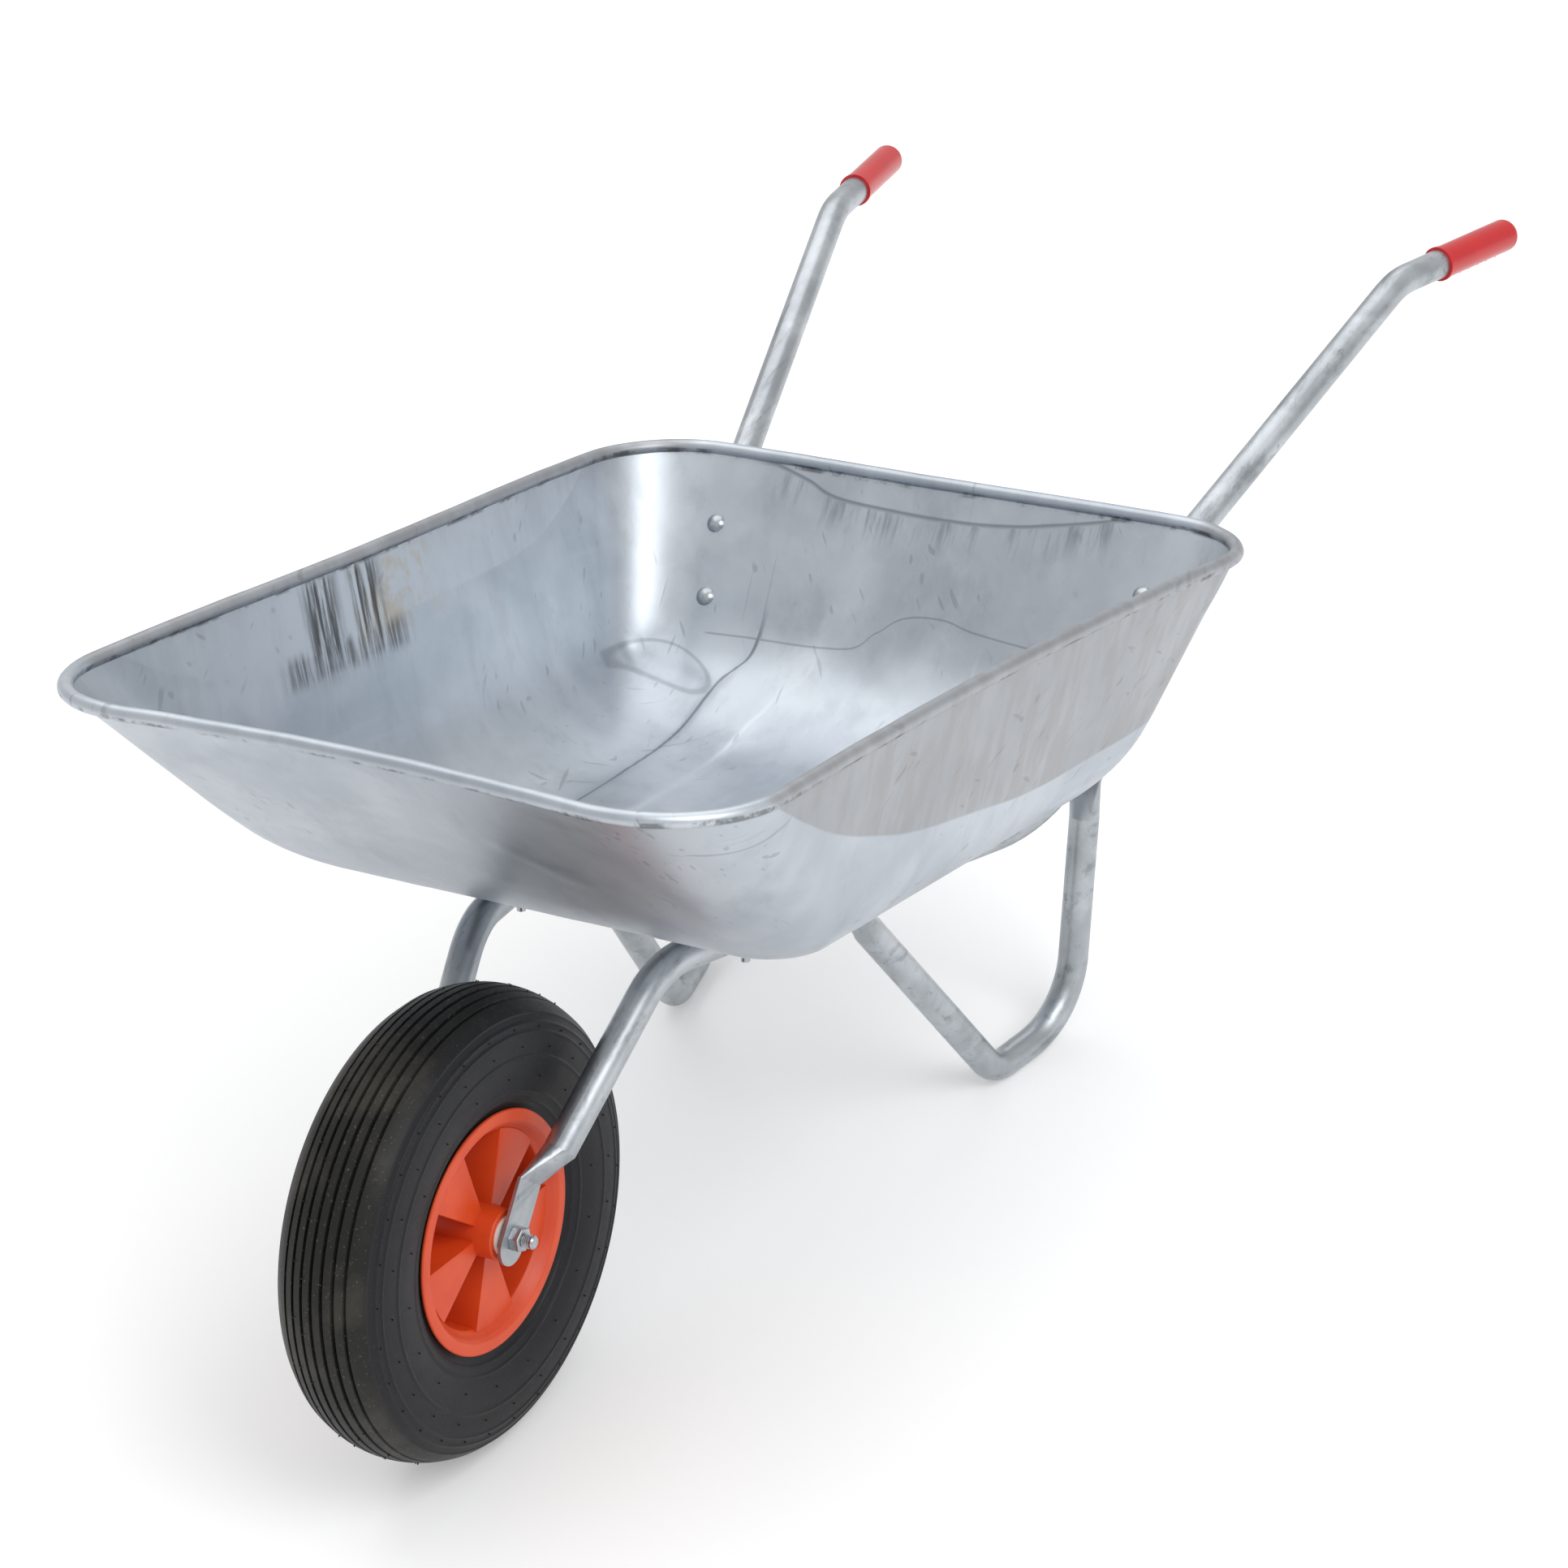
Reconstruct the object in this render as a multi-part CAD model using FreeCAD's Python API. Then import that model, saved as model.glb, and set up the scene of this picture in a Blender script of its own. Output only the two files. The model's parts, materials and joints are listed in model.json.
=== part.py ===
import FreeCAD, Part

import math
import os

from FreeCAD import Placement, Rotation, Vector

# A single-wheel garden barrow. +X is forward, +Y is the user's left, +Z is up, in millimetres.
# While it is modelled, X = 0 is the axle and Z = 0 is the ground. Each piece is then moved along X
# so that the origin lies under the middle of the whole barrow.

# ---- wheel
TYRE_RADIUS = 200.0
TYRE_HALF_WIDTH = 49.0
TYRE_WALL = 5.5
SHOULDER_HALF_WIDTH = 35.0
SHOULDER_DROP = 9.0
TREAD_GROOVES = 5
GROOVE_PITCH = 12.5
GROOVE_WIDTH = 2.4
GROOVE_DEPTH = 2.2
INNER_TUBE_WALL = 2.0
RIM_HALF_WIDTH = 41.0
RIM_FLANGE_RADIUS = 104.0
BEAD_SEAT_RADIUS = 96.8
RIM_WELL_RADIUS = 88.0
RIM_WALL = 4.0
FLANGE_THICKNESS = 3.4
RIM_WELL_HALF_WIDTH = 14.0
BEAD_SEAT_START = 22.0
FLANGE_LIP = 10.2
HUB_RADIUS = 22.0
HUB_HALF_LENGTH = 50.0
SPOKES = 5
SPOKE_HALF_ANGLE = 18.0
SPOKE_PHASE = 62.0
SPOKE_FACE = 33.0
SPOKE_WALL = 3.2
VALVE_ANGLE = 170.0
VALVE_OFFSET = 8.0
VALVE_RADIUS = 4.0
VALVE_BORE_RADIUS = 1.2
VALVE_LENGTH = 42.0
VALVE_CAP_RADIUS = 5.2
VALVE_CAP_LENGTH = 12.0

# ---- axle
AXLE_RADIUS = 6.0
SLEEVE_RADIUS = 9.0
BUSH_RADIUS = 13.0
BUSH_LENGTH = 22.0
BUSH_FLANGE = 3.0
BUSH_FLANGE_RADIUS = 17.0
SPACER_RADIUS = 12.5
AXLE_NUT_FLATS = 19.0
AXLE_NUT_HEIGHT = 10.0
AXLE_HEAD_HEIGHT = 7.5
AXLE_END = 10.0
AXLE_END_RADIUS = 5.4

# ---- frame tubes
TUBE_RADIUS = 14.0
TUBE_WALL = 1.5
TAB_INNER = 56.0
TAB_THICKNESS = 3.0
TAB_HALF_WIDTH = 17.0
TAB_END = 24.0
FORK_TAB_LENGTH = 47.0
FORK_TAB_ANGLE = 46.0
FORK_FLATTEN = 80.0
FORK_ANGLE = 35.5
FORK_SPLAY = 0.173
RUN_SPLAY = 0.207
FORK_BEND = 70.0
REAR_BEND = 170.0
HANDLE_BEND = 70.0
GRIP_BEND = 75.0
HANDLE_ANGLE = 19.8
HANDLE_REACH = 355.0
HANDLE_RISE = 90.0
GRIP_ANGLE = 7.0
GRIP_RUN = 178.0

# ---- grips
GRIP_LENGTH = 120.0
GRIP_WALL = 1.8
GRIP_CAP = 6.0
GRIP_DOME_SHARE = 0.62
GRIP_MOUTH = 1.0
GRIP_NUBS = 5
GRIP_NUB_RADIUS = 2.8
GRIP_NUB_PITCH = 15.0

# ---- pan
RIM_OVERHANG = 40.0
TYRE_GAP = 47.0
PAN_TILT = 13.2
PAN_RIM_LENGTH = 963.0
PAN_FRONT_HALF_WIDTH = 325.0
PAN_REAR_HALF_WIDTH = 337.0
PAN_DEPTH = 236.0
PAN_FRONT_RUN = 284.0
PAN_REAR_RUN = 135.0
PAN_SIDE_RUN_FRONT = 52.0
PAN_SIDE_RUN_REAR = 81.0
PAN_RIM_CORNER_FRONT = 112.0
PAN_RIM_CORNER_REAR = 92.0
PAN_FLOOR_CORNER = 46.0
PAN_FLOOR_REACH = 112.0
PAN_SIDE_REACH_REAR = 84.0
PAN_SHEET = 1.0
BEAD_RADIUS = 6.5
BEAD_WALL = 1.1
BEAD_SLIT = 30.0

# ---- legs
LEG_RADIUS = 14.0
LEG_WALL = 1.5
LEG_SETBACK = 591.0
LEG_FOOT = 109.0
LEG_FRONT_ANGLE = 58.9
LEG_REAR_ANGLE = 76.8
LEG_FRONT_BEND = 34.0
LEG_REAR_BEND = 75.0
LEG_FLATTEN = 40.0
LEG_FRONT_TAB = 38.0
LEG_TAB_END = 14.0

# ---- pan and leg fasteners
BOLT_RADIUS = 4.0
BOLT_HEAD_RADIUS = 9.4
BOLT_HEAD_HEIGHT = 5.0
BOLT_END = 5.0
NUT_FLATS = 13.0
NUT_HEIGHT = 6.5
WASHER_RADIUS = 9.0
WASHER_THICKNESS = 1.6
FRONT_BOLT_STEP = 103.0
LOWER_BOLT_STEP = 133.0
UPPER_BOLT_STEP = 205.0

# ---- clearances
RUNNING_FIT = 0.08
LOOSE_FIT = 0.05
HOLE_FIT = 0.3
SEAT_FIT = 0.1
BODY_GAP = 0.4
OVERCUT = 2.0

UP = Vector(0, 0, 1)
LEFT = Vector(0, 1, 0)
AXLE = Vector(0, 0, TYRE_RADIUS)


# ------------------------------------------------------------------ general helpers
def direction(angle):
    """Unit vector in the XZ plane, its angle in degrees from forward towards up."""
    a = math.radians(angle)
    return Vector(math.cos(a), 0, math.sin(a))


def rod(start, way, radius, length):
    return Part.makeCylinder(radius, length, start, way)


def ring(start, way, outer, inner, length):
    return rod(start, way, outer, length).cut(rod(start - way * OVERCUT, way, inner, length + 2 * OVERCUT))


def hexagon_prism(start, way, flats, height):
    corner = flats / math.sqrt(3)
    points = []
    for i in range(7):
        a = math.radians(60 * i)
        points.append(Vector(corner * math.cos(a), corner * math.sin(a), 0))
    prism = Part.Face(Part.makePolygon(points)).extrude(Vector(0, 0, height))
    prism.Placement = Placement(start, Rotation(UP, way))
    return prism


def crossing(p, way_p, q, way_q):
    """Where two lines of the XZ plane meet."""
    det = way_p.x * -way_q.z + way_q.x * way_p.z
    t = ((q.x - p.x) * -way_q.z + way_q.x * (q.z - p.z)) / det
    return p + way_p * t


def fillet_path(points, radii):
    """Straight runs through points, joined by tangent arcs of the given radii."""
    edges = []
    last = points[0]
    for i in range(1, len(points) - 1):
        corner = points[i]
        back = (points[i - 1] - corner).normalize()
        ahead = (points[i + 1] - corner).normalize()
        half = back.getAngle(ahead) / 2
        reach = radii[i - 1] / math.tan(half)
        into = corner + back * reach
        out = corner + ahead * reach
        inward = (back + ahead).normalize()
        middle = corner + inward * (radii[i - 1] / math.sin(half) - radii[i - 1])
        edges.append(Part.makeLine(last, into))
        edges.append(Part.Arc(into, middle, out).toShape())
        last = out
    edges.append(Part.makeLine(last, points[-1]))
    return Part.Wire(edges)


def bent_tube(points, radii, outer, wall):
    path = fillet_path(points, radii)
    way = (points[1] - points[0]).normalize()
    solids = []
    for radius in (outer, outer - wall):
        circle = Part.Wire(Part.makeCircle(radius, points[0], way))
        solids.append(path.makePipeShell([circle], True, False))
    return solids[0].cut(solids[1])


def slot_wire(centre, way, across, half_width, half_thickness):
    """Flat section with round ends, at right angles to way."""
    thick = way.cross(across).normalize()
    flat = half_width - half_thickness
    wide = across * flat
    lift = thick * half_thickness
    tip = across * half_width
    edges = [
        Part.makeLine(centre - wide - lift, centre + wide - lift),
        Part.Arc(centre + wide - lift, centre + tip, centre + wide + lift).toShape(),
        Part.makeLine(centre + wide + lift, centre - wide + lift),
        Part.Arc(centre - wide + lift, centre - tip, centre - wide - lift).toShape(),
    ]
    return Part.Wire(edges)


def round_wire(centre, way, across, radius):
    """Circle in four arcs that match the four edges of a slot wire."""
    thick = way.cross(across).normalize()
    a = math.radians(40)

    def at(angle):
        return centre + across * (radius * math.cos(angle)) + thick * (radius * math.sin(angle))

    corners = [math.pi + a, 2 * math.pi - a, 2 * math.pi + a, 3 * math.pi - a, 3 * math.pi + a]
    edges = []
    for first, last in zip(corners, corners[1:]):
        edges.append(Part.Arc(at(first), at((first + last) / 2), at(last)).toShape())
    return Part.Wire(edges)


def flattened_end(tube_end, tube_way, tab_start, tab_way, normal, reach, overhang, radius, hole):
    """Tube squashed flat into a tab with a rounded end and one bolt hole, reach from its fold."""
    tab_across = normal.cross(tab_way).normalize()
    tube_across = (tab_across - tube_way * tab_across.dot(tube_way)).normalize()
    half = TAB_THICKNESS / 2
    squash = Part.makeLoft(
        [
            round_wire(tube_end, tube_way, tube_across, radius),
            slot_wire(tab_start, tab_way, tab_across, TAB_HALF_WIDTH, half),
        ],
        True,
        False,
    )
    nose = reach + overhang - TAB_HALF_WIDTH
    side = tab_across * TAB_HALF_WIDTH
    base = tab_start - normal * half
    outline = Part.Wire(
        [
            Part.makeLine(base - side, base - side + tab_way * nose),
            Part.Arc(
                base - side + tab_way * nose,
                base + tab_way * (nose + TAB_HALF_WIDTH),
                base + side + tab_way * nose,
            ).toShape(),
            Part.makeLine(base + side + tab_way * nose, base + side),
            Part.makeLine(base + side, base - side),
        ]
    )
    plate = Part.Face(outline).extrude(normal * TAB_THICKNESS)
    knuckle = rod(tab_start - side, tab_across, half, 2 * TAB_HALF_WIDTH)
    bolt_place = tab_start + tab_way * reach
    drill = rod(bolt_place - normal * OVERCUT * 2, normal, hole, OVERCUT * 4)
    return squash.fuse([plate, knuckle]).cut(drill)


# ------------------------------------------------------------------ where the pan sits
FLOOR_WAY = direction(PAN_TILT)
FLOOR_NORMAL = direction(PAN_TILT + 90)
FRONT_SLOPE = math.degrees(math.atan2(PAN_DEPTH, PAN_FRONT_RUN))
REAR_SLOPE = math.degrees(math.atan2(PAN_DEPTH, PAN_REAR_RUN))
FRONT_WALL_ANGLE = math.radians(PAN_TILT + FRONT_SLOPE)
RIM_FRONT_HEIGHT = (
    TYRE_RADIUS
    + (TYRE_RADIUS + TYRE_GAP + RIM_OVERHANG * math.sin(FRONT_WALL_ANGLE)) / math.cos(FRONT_WALL_ANGLE)
)
RIM_FRONT = Vector(RIM_OVERHANG, 0, RIM_FRONT_HEIGHT)
RIM_REAR = RIM_FRONT - FLOOR_WAY * PAN_RIM_LENGTH
PAN_PLACE = Placement(RIM_FRONT - FLOOR_NORMAL * PAN_DEPTH, Rotation(LEFT, -PAN_TILT))
FLOOR_REAR = RIM_REAR + FLOOR_WAY * PAN_REAR_RUN - FLOOR_NORMAL * PAN_DEPTH
WALL_WAY = direction(180 - REAR_SLOPE + PAN_TILT)
WALL_NORMAL = direction(90 - REAR_SLOPE + PAN_TILT)


# ------------------------------------------------------------------ centre line of a frame tube
FORK_WAY = direction(180 - FORK_ANGLE)
SHEET_TO_TUBE = TUBE_RADIUS + SEAT_FIT
FORK_CORNER = crossing(AXLE, FORK_WAY, FLOOR_REAR - FLOOR_NORMAL * SHEET_TO_TUBE, FLOOR_WAY)
REAR_CORNER = crossing(
    FORK_CORNER, FLOOR_WAY, FLOOR_REAR - WALL_NORMAL * SHEET_TO_TUBE, WALL_WAY
)
GRIP_CORNER = RIM_REAR + Vector(-HANDLE_REACH, 0, HANDLE_RISE)
HANDLE_CORNER = crossing(REAR_CORNER, WALL_WAY, GRIP_CORNER, direction(-HANDLE_ANGLE))
HANDLE_END = GRIP_CORNER + direction(180 + GRIP_ANGLE) * GRIP_RUN
TAB_MIDDLE = TAB_INNER + TAB_THICKNESS / 2


def half_track(x):
    """Distance of a frame tube from the middle plane, at a place along the barrow."""
    if x > FORK_CORNER.x:
        return TAB_MIDDLE - FORK_SPLAY * x
    return TAB_MIDDLE - FORK_SPLAY * FORK_CORNER.x + RUN_SPLAY * (FORK_CORNER.x - x)


def splayed(point, side):
    """Point of the XZ plane, moved out to a frame tube's own upright plane."""
    return Vector(point.x, side * half_track(point.x), point.z)


def along(first, second, side):
    return (splayed(second, side) - splayed(first, side)).normalize()


# ------------------------------------------------------------------ centre line of a leg
FOOT_FRONT = Vector(-LEG_SETBACK, 0, LEG_RADIUS)
FOOT_REAR = FOOT_FRONT + Vector(-LEG_FOOT, 0, 0)
TUBE_TO_TAB = TUBE_RADIUS + SEAT_FIT + TAB_THICKNESS / 2
LEG_FRONT_WAY = direction(LEG_FRONT_ANGLE)
LEG_REAR_WAY = direction(180 - LEG_REAR_ANGLE)
LEG_TOP_FRONT = crossing(FOOT_FRONT, LEG_FRONT_WAY, FORK_CORNER - FLOOR_NORMAL * TUBE_TO_TAB, FLOOR_WAY)
LEG_TOP_REAR = crossing(FOOT_REAR, LEG_REAR_WAY, REAR_CORNER - WALL_NORMAL * TUBE_TO_TAB, WALL_WAY)

# ------------------------------------------------------------------ bolts through the frame tubes
UPPER_BOLT = REAR_CORNER + WALL_WAY * UPPER_BOLT_STEP
LOWER_BOLT = REAR_CORNER + WALL_WAY * LOWER_BOLT_STEP
FRONT_BOLT = FORK_CORNER - FLOOR_WAY * FRONT_BOLT_STEP
LEG_BOLT = LEG_TOP_FRONT + FLOOR_NORMAL * TUBE_TO_TAB + FLOOR_WAY * LEG_FRONT_TAB
LEG_REAR_TAB = (LOWER_BOLT - WALL_NORMAL * TUBE_TO_TAB - LEG_TOP_REAR).Length


def bolt_places(side):
    """Tube centre, inward normal and whether a leg tab is clamped, for each pan bolt of one side."""
    return [
        (splayed(FRONT_BOLT, side), FLOOR_NORMAL, False),
        (splayed(LEG_BOLT, side), FLOOR_NORMAL, True),
        (splayed(LOWER_BOLT, side), WALL_NORMAL, True),
        (splayed(UPPER_BOLT, side), WALL_NORMAL, False),
    ]


def tube_drills(side):
    reach = TUBE_RADIUS + OVERCUT
    drills = []
    for centre, normal, _ in bolt_places(side):
        drills.append(rod(centre - normal * reach, normal, BOLT_RADIUS + HOLE_FIT, 2 * reach))
    return drills


# ------------------------------------------------------------------ frame and legs
def frame_tube(side):
    """Grip end, handle, rise behind the pan, run under its floor and fork arm, in one bent tube."""
    start = AXLE + FORK_WAY * FORK_FLATTEN
    corners = [start, FORK_CORNER, REAR_CORNER, HANDLE_CORNER, GRIP_CORNER, HANDLE_END]
    points = [splayed(p, side) for p in corners]
    tube = bent_tube(points, [FORK_BEND, REAR_BEND, HANDLE_BEND, GRIP_BEND], TUBE_RADIUS, TUBE_WALL)
    tab_way = direction(-FORK_TAB_ANGLE)
    fold = AXLE - tab_way * FORK_TAB_LENGTH + Vector(0, side * TAB_MIDDLE, 0)
    fork_end = flattened_end(
        points[0],
        (points[0] - points[1]).normalize(),
        fold,
        tab_way,
        LEFT,
        FORK_TAB_LENGTH,
        TAB_END,
        TUBE_RADIUS,
        AXLE_RADIUS + HOLE_FIT,
    )
    return tube.fuse(fork_end).cut(tube_drills(side))


def leg_tab(end, before, bolt, way, normal, reach, side):
    """One squashed end of a leg: its tab lies against the frame tube, under a bolt."""
    length = reach / math.hypot(way.x, way.z)
    hole = splayed(bolt, side) - normal * TUBE_TO_TAB
    return flattened_end(
        end,
        (end - before).normalize(),
        hole - way * length,
        way,
        normal,
        length,
        LEG_TAB_END,
        LEG_RADIUS,
        BOLT_RADIUS + HOLE_FIT,
    )


def leg(side):
    """Tube bent to a V foot, both ends squashed flat and bolted to the frame tube."""
    ends = [LEG_TOP_FRONT - LEG_FRONT_WAY * LEG_FLATTEN, LEG_TOP_REAR - LEG_REAR_WAY * LEG_FLATTEN]
    points = [splayed(p, side) for p in (ends[0], FOOT_FRONT, FOOT_REAR, ends[1])]
    tube = bent_tube(points, [LEG_FRONT_BEND, LEG_REAR_BEND], LEG_RADIUS, LEG_WALL)
    run_way = along(REAR_CORNER, FORK_CORNER, side)
    rise_way = along(REAR_CORNER, HANDLE_CORNER, side)
    front = leg_tab(points[0], points[1], LEG_BOLT, run_way, FLOOR_NORMAL, LEG_FRONT_TAB, side)
    rear = leg_tab(points[3], points[2], LOWER_BOLT, rise_way, WALL_NORMAL, LEG_REAR_TAB, side)
    return tube.fuse([front, rear])


def grip(side):
    """Moulded sleeve with a domed end, a rolled mouth and a row of nubs below."""
    bore = TUBE_RADIUS + LOOSE_FIT
    outer = bore + GRIP_WALL
    barrel = rod(Vector(), UP, outer, GRIP_LENGTH)
    top = [e for e in barrel.Edges if e.BoundBox.ZMin > GRIP_LENGTH - 1]
    barrel = barrel.makeFillet(outer * GRIP_DOME_SHARE, top)
    mouth = rod(Vector(), UP, outer + GRIP_MOUTH, 4 * GRIP_MOUTH)
    barrel = barrel.fuse(mouth)
    for i in range(GRIP_NUBS):
        height = GRIP_LENGTH - outer - GRIP_NUB_PITCH * (i + 0.5)
        barrel = barrel.fuse(Part.makeSphere(GRIP_NUB_RADIUS, Vector(-outer, 0, height)))
    sleeve = barrel.cut(rod(Vector(0, 0, -OVERCUT), UP, bore, GRIP_LENGTH - GRIP_CAP + OVERCUT))
    way = along(GRIP_CORNER, HANDLE_END, side)
    start = splayed(HANDLE_END, side) - way * (GRIP_LENGTH - GRIP_CAP - SEAT_FIT)
    level = way.cross(UP).normalize()
    upward = level.cross(way)
    sleeve.Placement = Placement(start, Rotation(upward, level * -1, way, "ZXY"))
    return sleeve


# ------------------------------------------------------------------ pan
def wall_offset(height, slope, skin, reach=PAN_FLOOR_REACH):
    """How far a wall stands outside its floor corner at a height, with its rounded foot."""
    radius = reach / math.tan(slope / 2) - skin
    height = height - skin
    foot = -skin * math.tan(slope / 2)
    if height >= radius * (1 - math.cos(slope)):
        return foot + height / math.tan(slope)
    return foot - radius * math.tan(slope / 2) + math.sqrt(radius**2 - (radius - height) ** 2)


def trapezoid_wire(front, rear, front_half, rear_half, front_corner, rear_corner, height):
    """Tapered rectangle with round corners, in a plane parallel to the floor."""
    corners = [
        (Vector(front, front_half, height), front_corner),
        (Vector(rear, rear_half, height), rear_corner),
        (Vector(rear, -rear_half, height), rear_corner),
        (Vector(front, -front_half, height), front_corner),
    ]
    edges = []
    ends = []
    for i, (corner, radius) in enumerate(corners):
        back = (corners[i - 1][0] - corner).normalize()
        ahead = (corners[(i + 1) % 4][0] - corner).normalize()
        half = back.getAngle(ahead) / 2
        reach = radius / math.tan(half)
        inward = (back + ahead).normalize()
        middle = corner + inward * (radius / math.sin(half) - radius)
        ends.append((corner + back * reach, corner + ahead * reach))
        edges.append(Part.Arc(ends[i][0], middle, ends[i][1]).toShape())
    loop = []
    for i in range(4):
        loop.append(edges[i])
        loop.append(Part.makeLine(ends[i][1], ends[(i + 1) % 4][0]))
    return Part.Wire(loop)


def pan_level(height, skin):
    """One level section of the pan, skin inside its outer face."""
    front_slope = math.radians(FRONT_SLOPE)
    rear_slope = math.radians(REAR_SLOPE)
    front_side = math.atan2(PAN_DEPTH, PAN_SIDE_RUN_FRONT)
    rear_side = math.atan2(PAN_DEPTH, PAN_SIDE_RUN_REAR)
    front = -PAN_FRONT_RUN + wall_offset(height, front_slope, skin)
    rear = -PAN_RIM_LENGTH + PAN_REAR_RUN - wall_offset(height, rear_slope, skin)
    front_half = PAN_FRONT_HALF_WIDTH - PAN_SIDE_RUN_FRONT
    front_half += wall_offset(height, front_side, skin)
    rear_half = PAN_REAR_HALF_WIDTH - PAN_SIDE_RUN_REAR
    rear_half += wall_offset(height, rear_side, skin, PAN_SIDE_REACH_REAR)
    share = height / PAN_DEPTH
    front_corner = PAN_FLOOR_CORNER + (PAN_RIM_CORNER_FRONT - PAN_FLOOR_CORNER) * share - skin
    rear_corner = PAN_FLOOR_CORNER + (PAN_RIM_CORNER_REAR - PAN_FLOOR_CORNER) * share - skin
    return trapezoid_wire(front, rear, front_half, rear_half, front_corner, rear_corner, height)


def pan_block(skin, top):
    """Solid between the floor and a level above it, skin inside the pan's outer face."""
    steps = 9
    rounded = PAN_FLOOR_REACH * math.sin(math.atan2(PAN_DEPTH, PAN_SIDE_RUN_FRONT))
    heights = [skin + rounded * (1 - math.cos(math.pi / 2 * i / steps)) for i in range(steps + 1)]
    return Part.makeLoft([pan_level(h, skin) for h in heights + [top]], True, True)


def rim_bead():
    """Hollow curl around the edge, its slit turned down and out."""
    inner = BEAD_RADIUS - BEAD_WALL
    path = trapezoid_wire(
        0,
        -PAN_RIM_LENGTH,
        PAN_FRONT_HALF_WIDTH,
        PAN_REAR_HALF_WIDTH,
        PAN_RIM_CORNER_FRONT,
        PAN_RIM_CORNER_REAR,
        PAN_DEPTH,
    )
    start = path.Edges[1].valueAt(path.Edges[1].FirstParameter)
    way = path.Edges[1].tangentAt(path.Edges[1].FirstParameter)
    outward = way.cross(UP).normalize() * -1

    def at(radius, angle):
        a = math.radians(angle)
        return start + outward * (radius * math.cos(a)) + UP * (radius * math.sin(a))

    first = -BEAD_SLIT
    last = first + 360 - BEAD_SLIT
    middle = (first + last) / 2
    section = Part.Wire(
        [
            Part.Arc(at(BEAD_RADIUS, first), at(BEAD_RADIUS, middle), at(BEAD_RADIUS, last)).toShape(),
            Part.makeLine(at(BEAD_RADIUS, last), at(inner, last)),
            Part.Arc(at(inner, last), at(inner, middle), at(inner, first)).toShape(),
            Part.makeLine(at(inner, first), at(BEAD_RADIUS, first)),
        ]
    )
    edges = path.Edges[1:] + path.Edges[:1]
    return Part.Wire(edges).makePipeShell([section], True, False)


def pan():
    """Pressed sheet tray with a rolled edge, drilled for the bolts."""
    shell = pan_block(0, PAN_DEPTH).cut(pan_block(PAN_SHEET, PAN_DEPTH + OVERCUT))
    tray = shell.fuse(rim_bead())
    tray.Placement = PAN_PLACE
    drills = []
    for side in (1, -1):
        for centre, normal, _ in bolt_places(side):
            start = centre + normal * TUBE_RADIUS * 0.5
            drills.append(rod(start, normal, BOLT_RADIUS + HOLE_FIT, 2 * TUBE_RADIUS))
    return tray.cut(drills)


# ------------------------------------------------------------------ pan fasteners
def pan_bolt(centre, normal, clamps_leg):
    """Cup head bolt: its head lies in the pan, its end is below the nut."""
    seat = centre + normal * (SHEET_TO_TUBE + PAN_SHEET + SEAT_FIT)
    ball = (BOLT_HEAD_RADIUS**2 + BOLT_HEAD_HEIGHT**2) / (2 * BOLT_HEAD_HEIGHT)
    dome = Part.makeSphere(ball, seat + normal * (BOLT_HEAD_HEIGHT - ball))
    head = dome.common(rod(seat, normal, BOLT_HEAD_RADIUS, 2 * BOLT_HEAD_HEIGHT))
    bottom = nut_seat(clamps_leg) + NUT_HEIGHT + BOLT_END
    shank = rod(centre - normal * bottom, normal, BOLT_RADIUS, bottom + (seat - centre).Length + SEAT_FIT)
    return head.fuse(shank)


def nut_seat(clamps_leg):
    """Distance of a nut's upper face below the tube centre."""
    tab = TAB_THICKNESS + SEAT_FIT if clamps_leg else 0
    return TUBE_RADIUS + tab + SEAT_FIT + WASHER_THICKNESS


def pan_washer(centre, normal, clamps_leg):
    start = centre - normal * nut_seat(clamps_leg)
    return ring(start, normal, WASHER_RADIUS, BOLT_RADIUS + HOLE_FIT, WASHER_THICKNESS)


def pan_nut(centre, normal, clamps_leg):
    start = centre - normal * (nut_seat(clamps_leg) + NUT_HEIGHT)
    nut = hexagon_prism(start, normal, NUT_FLATS, NUT_HEIGHT)
    return nut.cut(rod(start - normal * OVERCUT, normal, BOLT_RADIUS + LOOSE_FIT, NUT_HEIGHT + 2 * OVERCUT))


def every_bolt(make, wanted=(False, True)):
    pieces = []
    for side in (1, -1):
        for centre, normal, clamps_leg in bolt_places(side):
            if clamps_leg in wanted:
                pieces.append(make(centre, normal, clamps_leg))
    return pieces


# ------------------------------------------------------------------ axle
def axle_bolt():
    """Hexagon head bolt, its head on the right and its threaded end on the left."""
    outside = TAB_INNER + TAB_THICKNESS + LOOSE_FIT
    head = hexagon_prism(AXLE - LEFT * (outside + AXLE_HEAD_HEIGHT), LEFT, AXLE_NUT_FLATS, AXLE_HEAD_HEIGHT)
    shank = rod(AXLE - LEFT * outside, LEFT, AXLE_RADIUS, 2 * outside + AXLE_NUT_HEIGHT)
    free_end = rod(AXLE + LEFT * (outside + AXLE_NUT_HEIGHT), LEFT, AXLE_END_RADIUS, AXLE_END)
    return head.fuse([shank, free_end])


def axle_nut():
    start = AXLE + LEFT * (TAB_INNER + TAB_THICKNESS + LOOSE_FIT)
    nut = hexagon_prism(start, LEFT, AXLE_NUT_FLATS, AXLE_NUT_HEIGHT)
    bore = rod(start - LEFT * OVERCUT, LEFT, AXLE_RADIUS + LOOSE_FIT, AXLE_NUT_HEIGHT + 2 * OVERCUT)
    return nut.cut(bore)


def axle_sleeve():
    """Steel tube that the wheel turns on, clamped between the two fork tabs."""
    half = TAB_INNER - LOOSE_FIT
    return ring(AXLE - LEFT * half, LEFT, SLEEVE_RADIUS, AXLE_RADIUS + LOOSE_FIT, 2 * half)


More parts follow.
